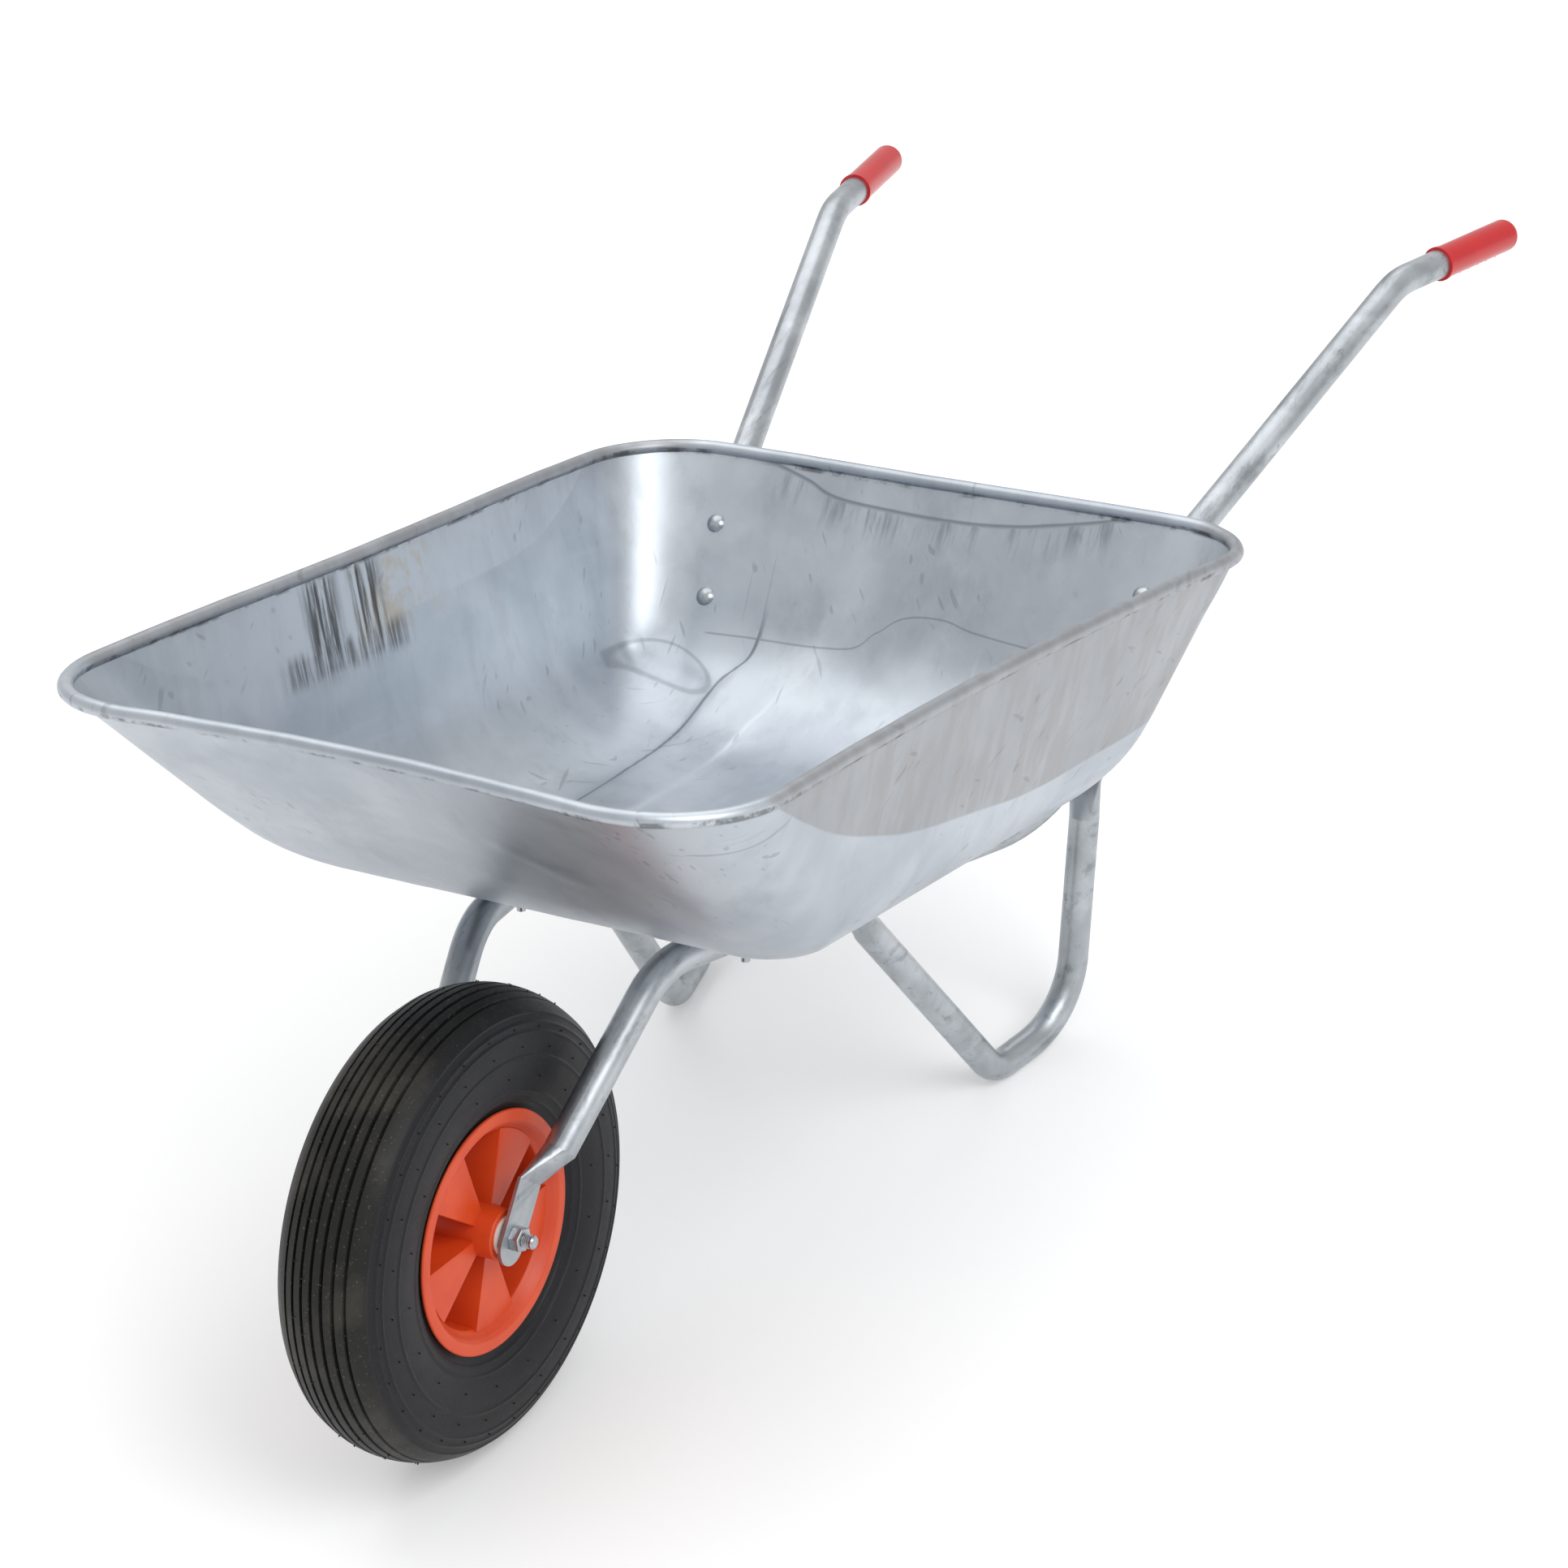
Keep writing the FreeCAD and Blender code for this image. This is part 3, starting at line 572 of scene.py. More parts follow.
    def split(self, where: Wire) -> tuple[Wire, Wire, Wire]:
        """The three parts of a vector."""
        x = self.node("ShaderNodeSeparateXYZ", None, {0: where}, 0)
        node = x.socket.node
        return x, Wire(self, node.outputs[1]), Wire(self, node.outputs[2])

    def finish(self, **values: object) -> bpy.types.Material:
        """Sets the shader's sockets and gives the material.

        Args:
            **values: Socket values by name, with _ for a space.

        Returns:
            The finished material.
        """
        for key, value in values.items():
            self.feed(self.shader.inputs[key.replace("_", " ")], value)
        return self.material


# ------------------------------------------------------------------ finishes
@dataclass(frozen=True)
class GalvanisedSheet:
    """Hot zinc on the pressed pan: cool grey with clouds, runs and fine scratches, press marks painted
    as shade and highlight lines, painted shade under the bead and a painted tan reflection.

    The pattern is laid out on the pan's own axes: forward along its floor, across, and up from it.
    """

    origin: Vector
    tilt: float
    base: Colour = (0.415, 0.455, 0.505)
    dark: Colour = (0.17, 0.19, 0.215)
    pale: Colour = (0.535, 0.575, 0.62)
    warm: Colour = (0.30, 0.295, 0.30)
    # colour of the painted tan reflection on the right-hand wall
    tan: Colour = (0.46, 0.40, 0.31)
    smear: Colour = (0.035, 0.032, 0.032)
    fold: Colour = (0.09, 0.10, 0.12)
    # colour of the painted shade along the crease lines
    scratch: Colour = (0.14, 0.15, 0.165)
    # colour of the painted shade in the seam under the bead
    soot: Colour = (0.030, 0.030, 0.032)
    outer_edge: Table = (
        (-0.90, 0.100), (-0.802, 0.087), (-0.721, 0.087), (-0.611, 0.088), (-0.482, 0.105),
        (-0.374, 0.122), (-0.298, 0.142), (-0.237, 0.162), (-0.175, 0.190), (-0.121, 0.219),
        (-0.09, 0.236),
    )
    inner_edge: Table = (
        (-0.86, 0.236), (-0.780, 0.195), (-0.732, 0.182), (-0.661, 0.176), (-0.568, 0.174),
        (-0.428, 0.168), (-0.320, 0.167), (-0.216, 0.192), (-0.178, 0.207), (-0.142, 0.227),
        (-0.10, 0.240),
    )
    rear_edge: Table = (
        (-0.178, 0.231), (-0.139, 0.222), (-0.100, 0.211), (-0.063, 0.209), (0.024, 0.208),
        (0.075, 0.211), (0.123, 0.218), (0.171, 0.227), (0.220, 0.238),
    )
    hairline: Table = (
        (-0.205, 0.079), (-0.161, 0.081), (-0.056, 0.086), (-0.027, 0.104), (0.027, 0.124),
        (0.072, 0.118), (0.133, 0.113),
    )
    outer_crease: Table = (
        (-0.893, 0.147), (-0.868, 0.148), (-0.851, 0.159), (-0.819, 0.175), (-0.745, 0.177),
        (-0.626, 0.167), (-0.45, 0.153),
    )
    inner_crease: Table = (
        (-0.890, 0.084), (-0.868, 0.082), (-0.843, 0.094), (-0.821, 0.108), (-0.758, 0.118),
        (-0.649, 0.110), (-0.45, 0.098),
    )

    def material(self) -> bpy.types.Material:
        """Builds the material.

        Returns:
            The finished material.
        """
        paint = Paint("pan_zinc")
        turn = Matrix.Rotation(self.tilt, 3, "Y")
        here = paint.place(turn=(0, self.tilt, 0), move=tuple(-(turn @ self.origin)))
        x, y, h = paint.split(here)
        clouds = paint.noise(here, 7.0, 4.0, 0.5, 0.3)
        streaked = paint.stretch(here, (26.0, 26.0, 3.2))
        runs = paint.noise(streaked, 1.0, 5.0, 0.65)
        along = paint.stretch(here, (3.5, 60.0, 60.0))
        rolled = paint.noise(along, 1.0, 4.0, 0.6)
        grain = paint.noise(here, 260.0, 3.0, 0.6)
        spangle = paint.cells(here, 55.0)
        flakes = paint.split(spangle)[0]

        colour = paint.blend(clouds.step(0.36, 0.66), self.base, self.pale)
        colour = paint.blend((1 - runs.step(0.30, 0.50)) * 0.16, colour, self.dark)
        colour = paint.blend(rolled.step(0.50, 0.75) * 0.22, colour, self.pale)
        colour = paint.blend(flakes * 0.05, colour, self.dark)

        inside = paint.attribute("inside")
        crossed = paint.stretch(here, (45.0, 30.0, 12.0))
        plaid = paint.noise(crossed, 1.0, 3.0, 0.6)
        band = self._outer_band(paint, x, y, h) * (1 - inside)
        colour = paint.blend(band * (0.48 + 0.24 * plaid.step(0.35, 0.65)), colour, self.warm)
        lit = self._inner_band(paint, x, y, h) * inside
        colour = paint.blend(lit * (0.25 + 0.4 * plaid.step(0.35, 0.65)), colour, self.pale)
        # the second result, stain, is a painted tan reflection, not a mark on the zinc
        smears, stain = self._smears(paint, here, x, y, h)
        colour = paint.blend(stain * inside * 0.75, colour, self.tan)
        colour = paint.blend(smears * inside * 0.88, colour, self.smear)
        rear = self._rear_band(paint, here, x, y, h) * inside
        colour = paint.blend(rear * 0.75, colour, self.dark)
        # painted shade and painted highlight lines along the rib edges and round the wrinkle, on top
        # of the ribs pressed into the sheet
        shaded_creases, raised = self._creases(paint, x, y, h)
        colour = paint.blend(raised * inside * 0.6, colour, self.pale)
        colour = paint.blend(shaded_creases * inside * 0.62, colour, self.fold)
        scratches = self._scratches(paint, here)
        colour = paint.blend(scratches * 0.30, colour, self.scratch)
        dirt = paint.noise(here, 38.0, 6.0, 0.7).step(0.62, 0.76)
        colour = paint.blend(dirt * 0.14, colour, self.dark)
        # painted shade in the seam where the rolled bead meets the wall
        seam_shade = self._grime(paint, here, h)
        colour = paint.blend(seam_shade * 0.65, colour, self.soot)

        rough = 0.30 + 0.12 * clouds + 0.08 * runs + band * 0.06 - smears * 0.05
        ripple = paint.bump(rolled * 0.5 + clouds * 0.6, 0.0009, 0.30)
        normal = paint.bump(grain * 0.5 + flakes * 0.2 - scratches * 0.8, 0.00012, 0.5, ripple)
        return paint.finish(Base_Color=colour, Metallic=0.82, Roughness=rough, Normal=normal)

    def _outer_band(self, paint: Paint, x: Wire, y: Wire, h: Wire) -> Wire:
        """Drawn zone that hangs from the rim outside each long wall, deepest towards the rear.

        Args:
            paint: The material under construction.
            x: Distance forward.
            y: Distance across.
            h: Height over the floor.

        Returns:
            1 in the zone and 0 outside it.
        """
        low = paint.curve(x, self.outer_edge)
        return (h - low).step(-0.001, 0.002) * y.size().step(0.262, 0.282) * x.step(-0.075, -0.110)

    def _inner_band(self, paint: Paint, x: Wire, y: Wire, h: Wire) -> Wire:
        """Brighter zone that hangs from the rim inside each long wall.

        Args:
            paint: The material under construction.
            x: Distance forward.
            y: Distance across.
            h: Height over the floor.

        Returns:
            1 in the zone and 0 outside it.
        """
        low = paint.curve(x, self.inner_edge)
        return (h - low).step(-0.001, 0.002) * y.size().step(0.262, 0.282)

    def _rear_band(self, paint: Paint, here: Wire, x: Wire, y: Wire, h: Wire) -> Wire:
        """Dark lower edge of the bright strip under the rear rim.

        Args:
            paint: The material under construction.
            here: The pan's own coordinates.
            x: Distance forward.
            y: Distance across.
            h: Height over the floor.

        Returns:
            How dark the edge is, from 0 to 1.
        """
        above = h - paint.curve(y, self.rear_edge)
        fringe = paint.stretch(here, (10.0, 80.0, 8.0))
        ragged = paint.noise(fringe, 1.0, 4.0, 0.7)
        line = above.step(0.001, -0.001) * above.step(-0.005, -0.001)
        fade = above.step(0.0, -0.003) * above.step(-0.040, -0.006) * ragged.step(0.46, 0.68)
        return line.higher(fade * 0.8) * x.step(-0.86, -0.91) * y.size().step(0.215, 0.170)

    def _creases(self, paint: Paint, x: Wire, y: Wire, h: Wire) -> tuple[Wire, Wire]:
        """Painted shade and painted highlight lines along the pressed ribs, a painted shade outline
        round the press wrinkle and a dark hairline.

        Args:
            paint: The material under construction.
            x: Distance forward.
            y: Distance across.
            h: Height over the floor.

        Returns:
            The painted shade lines and the painted highlight lines.
        """
        across = y.size()
        ends = h.step(0.118, 0.070) * x.step(-0.42, -0.52)
        # painted shade along the outer edge of each rib
        outer = (across - paint.curve(x, self.outer_crease)).size().step(0.0030, 0.0008) * ends
        # painted highlight along the inner edge of each rib
        inner = (across - paint.curve(x, self.inner_crease)).size().step(0.0032, 0.0008) * ends
        u = (y + 0.228) / 0.048
        v = (h - (0.0515 - 0.24 * (y + 0.228))) / 0.013
        # painted shade outlining the press wrinkle
        leaf = ((u * u + v * v) ** 0.5 - 1.0).size().step(0.14, 0.03) * x.step(-0.79, -0.80)
        wave = (h - paint.curve(y, self.hairline)).size().step(0.0013, 0.0004) * x.step(-0.862, -0.868)
        ends_of_wave = (y + 0.036).size().step(0.175, 0.165)
        return outer.higher(leaf * 0.5).higher(wave * ends_of_wave * 0.6), inner

    def _grime(self, paint: Paint, here: Wire, h: Wire) -> Wire:
        """Painted shade, near black, in the seam under the rolled bead, broken into lengths.

        Args:
            paint: The material under construction.
            here: The pan's own coordinates.
            h: Height over the floor.

        Returns:
            1 in the seam and 0 outside it.
        """
        broken = paint.noise(here, 30.0, 5.0, 0.7)
        seam = h.step(0.2345, 0.2325) * h.step(0.2270, 0.2292)
        return seam * broken.step(0.46, 0.62)

    def _smears(self, paint: Paint, here: Wire, x: Wire, y: Wire, h: Wire) -> tuple[Wire, Wire]:
        """Dark drawn smears down the middle of the right-hand wall, with a painted tan reflection
        beside them.

        Args:
            paint: The material under construction.
            here: The pan's own coordinates.
            x: Distance forward.
            y: Distance across.
            h: Height over the floor.

        Returns:
            The dark smears and the painted tan reflection.
        """
        fringe = paint.stretch(here, (125.0, 10.0, 7.0))
        ragged = paint.noise(fringe, 1.0, 5.0, 0.65)
        first = (x + 0.405).size().step(0.034, 0.012) * (h - 0.150).step(-0.022, 0.020)
        second = (x + 0.470).size().step(0.032, 0.010) * (h - 0.146).step(-0.016, 0.020)
        third = (x + 0.430).size().step(0.105, 0.070) * (h - 0.158).size().step(0.020, 0.006)
        patch = first.higher(second).higher(third * 0.8) * ragged.step(0.40, 0.58)
        inside = y.step(-0.285, -0.295) * h.step(0.238, 0.222)
        # painted reflection: a tan patch standing in for something bright mirrored in the wall
        tan = (x + 0.505).size().step(0.095, 0.030) * (h - 0.165).step(-0.020, 0.010)
        cloud = paint.noise(here, 22.0, 5.0, 0.6).step(0.44, 0.60)
        return patch * inside, tan * cloud * ragged.step(0.30, 0.55) * inside

    def _scratches(self, paint: Paint, here: Wire) -> Wire:
        """A few long hair scratches in three directions.

        Args:
            paint: The material under construction.
            here: The pan's own coordinates.

        Returns:
            1 on a scratch and 0 off it.
        """
        ways = (
            ((0.5, 0.3, 0.5), (1.4, 150.0, 40.0)),
            ((-0.9, 0.2, -0.7), (2.0, 40.0, 170.0)),
            ((0.2, 1.1, 0.1), (2.4, 150.0, 60.0)),
        )
        lines: Wire | None = None
        for turn, scale in ways:
            values = {"Vector": here, "Rotation": turn}
            spun = paint.node("ShaderNodeMapping", {"vector_type": "TEXTURE"}, values)
            drawn = paint.stretch(spun, scale)
            line = paint.noise(drawn, 1.0, 1.0, 0.4).step(0.70, 0.76)
            lines = line if lines is None else lines.higher(line)
        gate = paint.noise(here, 6.0, 2.0, 0.5).step(0.47, 0.56)
        return lines * gate


@dataclass(frozen=True)
class ZincCoat:
    """Zinc on tubes and fasteners."""

    name: str
    kind: Metal
    base: Colour = (0.36, 0.385, 0.41)
    dark: Colour = (0.10, 0.11, 0.12)
    pale: Colour = (0.50, 0.53, 0.56)

    def material(self) -> bpy.types.Material:
        """Builds the material.

        Returns:
            The finished material.
        """
        paint = Paint(self.name)
        here = paint.place()
        fine = 900.0 if self.kind is Metal.PLATED else 420.0
        grain = paint.noise(here, fine, 3.0, 0.6)
        if self.kind is Metal.PLATED:
            stain = paint.noise(here, 90.0, 4.0, 0.6)
            colour = paint.blend(stain.step(0.35, 0.7), self.base, self.pale)
            rough = 0.24 + 0.16 * stain
            normal = paint.bump(grain, 0.00005, 0.5)
            return paint.finish(Base_Color=colour, Metallic=0.95, Roughness=rough, Normal=normal)
        clouds = paint.noise(here, 16.0, 5.0, 0.62, 0.3)
        drawn = paint.stretch(here, (7.0, 90.0, 55.0))
        streaks = paint.noise(drawn, 1.0, 5.0, 0.65)
        spots = paint.noise(here, 70.0, 6.0, 0.72).step(0.60, 0.72)
        colour = paint.blend(clouds.step(0.35, 0.68), self.base, self.pale)
        colour = paint.blend(streaks.step(0.52, 0.72) * 0.45, colour, self.dark)
        colour = paint.blend(spots * 0.5, colour, self.dark)
        rough = 0.26 + 0.16 * clouds + 0.08 * streaks
        wave = paint.bump(clouds, 0.0012, 0.3)
        normal = paint.bump(grain * 0.5 + streaks * 0.5, 0.00016, 0.6, wave)
        return paint.finish(Base_Color=colour, Metallic=0.9, Roughness=rough, Normal=normal)


@dataclass(frozen=True)
class TyreRubber:
    """Black moulded rubber: dusty brown-grey on the ribs, blue-black on the walls."""

    wall: Colour = (0.0045, 0.0048, 0.0068)
    tread: Colour = (0.0085, 0.0082, 0.0075)
    dust: Colour = (0.055, 0.050, 0.038)

    def material(self) -> bpy.types.Material:
        """Builds the material.

        Returns:
            The finished material.
        """
        paint = Paint("tyre_rubber")
        here = paint.place(move=tuple(-AXLE))
        x, y, z = paint.split(here)
        radius = (x * x + z * z) ** 0.5
        crown = radius.step(0.181, 0.190)
        clouds = paint.noise(here, 14.0, 4.0, 0.6)
        specks = paint.noise(here, 420.0, 2.0, 0.5).step(0.64, 0.72)
        bloom = paint.noise(here, 45.0, 5.0, 0.65)
        colour = paint.blend(crown, self.wall, self.tread)
        colour = paint.blend(crown * clouds.step(0.46, 0.66) * 0.45, colour, self.dust)
        colour = paint.blend(specks * 0.22 * (0.3 + crown), colour, (0.20, 0.19, 0.16))
        rough = 0.38 + 0.16 * bloom + 0.04 * crown
        rings = ((radius * 2600.0).sine() * 0.5 + 0.5) * (1 - crown)
        pebble = paint.noise(here, 700.0, 2.0, 0.5)
        low = paint.bump(bloom + rings * 0.06, 0.0006, 0.45)
        normal = paint.bump(pebble, 0.00012, 0.7, low)
        return paint.finish(Base_Color=colour, Roughness=rough, Normal=normal, Specular_IOR_Level=0.30)


@dataclass(frozen=True)
class Moulding:
    """Coloured moulded plastic."""

    name: str
    colour: Colour
    shade: Colour
    rough: float
    texture: float
    coat: float = 0.0

    def material(self) -> bpy.types.Material:
        """Builds the material.

        Returns:
            The finished material.
        """
        paint = Paint(self.name)
        here = paint.place()
        clouds = paint.noise(here, 24.0, 3.0, 0.5)
        fine = paint.noise(here, 1300.0, 2.0, 0.5)
        scuffs = paint.noise(here, 120.0, 5.0, 0.7).step(0.60, 0.72)
        colour = paint.blend(clouds.step(0.3, 0.7) * 0.5, self.colour, self.shade)
        rough = self.rough + 0.06 * clouds + 0.10 * scuffs
        normal = paint.bump(fine * 0.5 + clouds * 0.5, self.texture, 0.6)
        return paint.finish(
            Base_Color=colour,
            Roughness=rough,
            Normal=normal,
            Coat_Weight=self.coat,
            Coat_Roughness=0.12,
        )


@dataclass(frozen=True)
class Brass:
    """Plain turned brass."""

    def material(self) -> bpy.types.Material:
        """Builds the material.

        Returns:
            The finished material.
        """
        paint = Paint("valve_brass")
        tarnish = paint.noise(paint.place(), 160.0, 4.0, 0.6)
        colour = paint.blend(tarnish.step(0.4, 0.7), (0.52, 0.39, 0.17), (0.26, 0.19, 0.09))
        return paint.finish(Base_Color=colour, Metallic=1.0, Roughness=0.3 + 0.2 * tarnish)


# ------------------------------------------------------------------ pan
@dataclass
class Level:
    """The pan's outline at one height above its floor, in the pan's own axes and metres."""

    # shares of an end and of a side that run straight, before its corner arcs
    END_STRAIGHT: ClassVar[float] = 0.70
    SIDE_STRAIGHT: ClassVar[float] = 0.81

    front: float
    rear: float
    front_half: float
    rear_half: float
    front_corner: float
    rear_corner: float

    def __post_init__(self) -> None:
        """Works out the side's direction and the centres of the corner arcs."""
        side = Vector((self.rear_half - self.front_half, self.front - self.rear)).normalized()
        self.normal = side
        self.turn = math.atan2(side.y, side.x)
        r, q = self.front_corner, self.rear_corner
        self.front_centre = Vector((self.front - r, self.front_half + r * (side.x - 1) / side.y))
        self.rear_centre = Vector((self.rear + q, self.rear_half - q * (side.x + 1) / side.y))

    def on_arc(self, at_front: bool, angle: float) -> Vector:
        """A point of a left-hand corner arc."""
        centre = self.front_centre if at_front else self.rear_centre
        radius = self.front_corner if at_front else self.rear_corner
        return centre + radius * Vector((math.cos(angle), math.sin(angle)))

    def point(self, s: float, t: float) -> Vector:
        """A point of the outline.

        Args:
            s: From -1 at the rear to 1 at the front; one of s and t is at an end.
            t: From -1 on the right to 1 on the left.

        Returns:
            The point, forward and across.
        """
        hand = -1.0 if t < 0 else 1.0
        ahead = s > 0
        if abs(s) >= abs(t):
            tau, straight = abs(t / s), self.END_STRAIGHT
            last = self.turn / 2 if ahead else (self.turn + math.pi) / 2
            first = 0.0 if ahead else math.pi
            if tau > straight:
                spot = self.on_arc(ahead, first + (last - first) * (tau - straight) / (1 - straight))
            else:
                end = self.on_arc(ahead, first)
                spot = Vector((end.x, end.y * tau / straight))
        else:
            tau, straight = s / abs(t), self.SIDE_STRAIGHT
            if abs(tau) > straight:
                last = self.turn / 2 if ahead else (self.turn + math.pi) / 2
                swing = (last - self.turn) * (abs(tau) - straight) / (1 - straight)
                spot = self.on_arc(ahead, self.turn + swing)
            else:
                share = (tau / straight + 1) / 2
                spot = self.on_arc(False, self.turn).lerp(self.on_arc(True, self.turn), share)
        return Vector((spot.x, hand * spot.y))


@dataclass
class Pan:
    """The pressed tray with its rolled rim, drawn in its own axes and then tilted into place."""

    tilt: float = math.radians(13.2)
    depth: float = 0.236
    length: float = 0.963
    front_run: float = 0.284
    rear_run: float = 0.135
    front_half: float = 0.325
    rear_half: float = 0.337
    side_run_front: float = 0.052
    side_run_rear: float = 0.081
    reach: float = 0.112
    rear_side_reach: float = 0.084
    floor_corner: float = 0.046
    front_corner: float = 0.112
    rear_corner: float = 0.092
    sheet: float = 0.001
    bead: float = 0.0065
    cells: tuple[int, int] = (228, 188)
    floor_share: float = 0.36
    side_bow: float = 0.0098
    front_bow: float = 0.0168
    rear_bow: float = 0.0054
    corner_drop: float = 0.0045
    rib_depth: float = 0.0022
    rib_shoulder: float = 0.004
    wrinkle_depth: float = 0.0018
    wrinkle_half_width: float = 0.017
    bead_facets: int = 84
    bead_wave: float = 0.0004
    bolts: list[Vector] = field(default_factory=list)

    def __post_init__(self) -> None:
        """Places the pan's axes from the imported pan's box."""
        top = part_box("pan")[1]
        self.ahead = Vector((math.cos(self.tilt), 0, math.sin(self.tilt)))
        self.up = Vector((-math.sin(self.tilt), 0, math.cos(self.tilt)))
        rim = Vector((top.x - self.bead, 0, top.z - self.bead))
        self.origin = rim - self.up * self.depth

    def world(self, x: float, y: float, h: float) -> Vector:
        """A point given forward, across and up from the pan's floor."""
        return self.origin + self.ahead * x + Vector((0, y, 0)) + self.up * h

    def local(self, spot: Vector) -> Vector:
        """The pan's own coordinates of a point."""
        arm = spot - self.origin
        return Vector((arm.dot(self.ahead), arm.y, arm.dot(self.up)))

    def wall(self, h: float, run: float, reach: float) -> float:
        """How far a wall has moved outwards at a height, from where its line meets the floor.

        Args:
            h: Height over the floor.
            run: Outward run of the straight wall over the pan's depth.
            reach: Tangent length of the rounding at the wall's foot.

        Returns:
            The outward distance.
        """
        slope = math.atan2(self.depth, run)
        radius = reach / math.tan(slope / 2)
        if h >= radius * (1 - math.cos(slope)):
            return h / math.tan(slope)
        return math.sqrt(max(0.0, radius**2 - (radius - h) ** 2)) - radius * math.tan(slope / 2)

    def level(self, h: float) -> Level:
        """The outline at a height.

        Args:
            h: Height over the floor.

        Returns:
            The outline there.
        """
        share = h / self.depth
        front_side = self.wall(h, self.side_run_front, self.reach)
        rear_side = self.wall(h, self.side_run_rear, self.rear_side_reach)
        return Level(
            front=-self.front_run + self.wall(h, self.front_run, self.reach),
            rear=self.rear_run - self.length - self.wall(h, self.rear_run, self.reach),
            front_half=self.front_half - self.side_run_front + front_side,
            rear_half=self.rear_half - self.side_run_rear + rear_side,
            front_corner=self.floor_corner + (self.front_corner - self.floor_corner) * share,
            rear_corner=self.floor_corner + (self.rear_corner - self.floor_corner) * share,
        )

    def surface(self, s: float, t: float) -> Vector:
        """A point of the pan's outer face, before its pressed relief.

        Args:
            s: From -1 at the rear rim to 1 at the front rim.
            t: From -1 at the right rim to 1 at the left rim.

        Returns:
            The point in the pan's own axes.
        """
        out = max(abs(s), abs(t))
        if out <= self.floor_share:
            level = self.level(0.0)
            middle = Vector(((level.front + level.rear) / 2, 0))
            if out < 1e-9:
                return Vector((middle.x, 0, 0))
            edge = level.point(s / out, t / out)
            flat = middle + (edge - middle) * (out / self.floor_share)
            return Vector((flat.x, flat.y, 0))
        rise = (out - self.floor_share) / (1 - self.floor_share)
        bend, slope = 0.45, math.atan2(self.depth, self.side_run_front)
        radius = self.reach / math.tan(slope / 2)
        top = radius * (1 - math.cos(slope))
        if rise < bend:
            h = radius * (1 - math.cos(rise / bend * slope))
        else:
            h = top + (self.depth - top) * (rise - bend) / (1 - bend)
        level = self.level(h)
        edge = level.point(s / out, t / out)
        return self.bowed(edge, h, level)

    def bowed(self, edge: Vector, h: float, level: Level) -> Vector:
        """Draws the middles of the walls in and the corners down, as on a pressed tray.

        Args:
            edge: The point forward and across, on the plain outline.
            h: Its height over the floor.
            level: The outline that it lies on.

        Returns:
            The moved point in the pan's own axes.
        """
        share = (h / self.depth) ** 2
        along = min(1.0, max(0.0, (edge.x - level.rear) / (level.front - level.rear)))
        half = level.rear_half + (level.front_half - level.rear_half) * along
        across = min(1.0, abs(edge.y) / half)
        middle = math.sin(math.pi * along) ** 2
        side = self.side_bow * share * middle * across
        ends = math.cos(math.pi / 2 * across) ** 2
        pull = self.rear_bow * smoothstep(0.25, 0.0, along)
        pull -= self.front_bow * smoothstep(0.75, 1.0, along)
        corner = across**4 * (1 - middle) ** 4
        hand = math.copysign(1.0, edge.y)
        drop = self.corner_drop * share * corner
        return Vector((edge.x + pull * share * ends, edge.y - hand * side, h - drop))

    @staticmethod
    def lane(table: Sequence[tuple[float, float]], x: float) -> float:
        """Distance of a crease from the middle line at a place along the pan.

        Args:
            table: The crease's (place along the pan, distance) pairs.
            x: The place along the pan.

        Returns:
            The distance.
        """
        for (x0, y0), (x1, y1) in zip(table, table[1:]):
            if x <= x1:
                return y0 + (y1 - y0) * min(1.0, max(0.0, (x - x0) / (x1 - x0)))
        return table[-1][1]

    def ribs(self, spot: Vector) -> float:
        """Share of the rib's full height at a point.

        Args:
            spot: The point in the pan's own axes.

        Returns:
            The share, from 0 to 1.
        """
        across = abs(spot.y)
        outer = self.lane(GalvanisedSheet.outer_crease, spot.x)
        inner = self.lane(GalvanisedSheet.inner_crease, spot.x)
        soft = self.rib_shoulder
        inside = smoothstep(inner - soft, inner + soft, across)
        inside *= 1 - smoothstep(outer - soft, outer + soft, across)
        fade = (1 - smoothstep(-0.52, -0.40, spot.x)) * (1 - smoothstep(0.020, 0.112, spot.z))
        return inside * fade

    def wrinkle(self, spot: Vector) -> float:
        """Share of the leaf-shaped press wrinkle in the right-hand rear corner's foot.

        Args:
            spot: The point in the pan's own axes.

        Returns:
            The share, from 0 to 1.
        """
        start, end = Vector((-0.830, -0.275, 0.063)), Vector((-0.832, -0.180, 0.040))
        arm = end - start
        share = (spot - start).dot(arm) / arm.length_squared
        away = (spot - start - arm * share).length
        width = self.wrinkle_half_width * max(0.0, 1 - (2 * share - 1) ** 2) ** 0.5
        if width < 1e-4 or away > width:
            return 0.0
        return 1 - (away / width) ** 2

    def calm(self, spot: Vector) -> float:
        """Falls to 0 at each bolt, so that its head stays on the sheet."""
        near = min(((spot - bolt).length for bolt in self.bolts), default=1.0)
        return smoothstep(0.012, 0.035, near)

    def relief(self, spot: Vector) -> float:
        """Height of the pressed and knocked relief, towards the load.

        Args:
            spot: The point in the pan's own axes.

        Returns:
            The height in metres.
        """
        ripple = noise.noise(spot * 9.0) * 0.0003 + noise.noise(spot * 31.0) * 0.00008
        dents = max(0.0, noise.noise(spot * 17.0 + Vector((3, 1, 7))) - 0.36) * 0.002
        pressed = self.ribs(spot) * self.rib_depth - self.wrinkle(spot) * self.wrinkle_depth
        return (ripple - dents + pressed) * self.calm(spot)

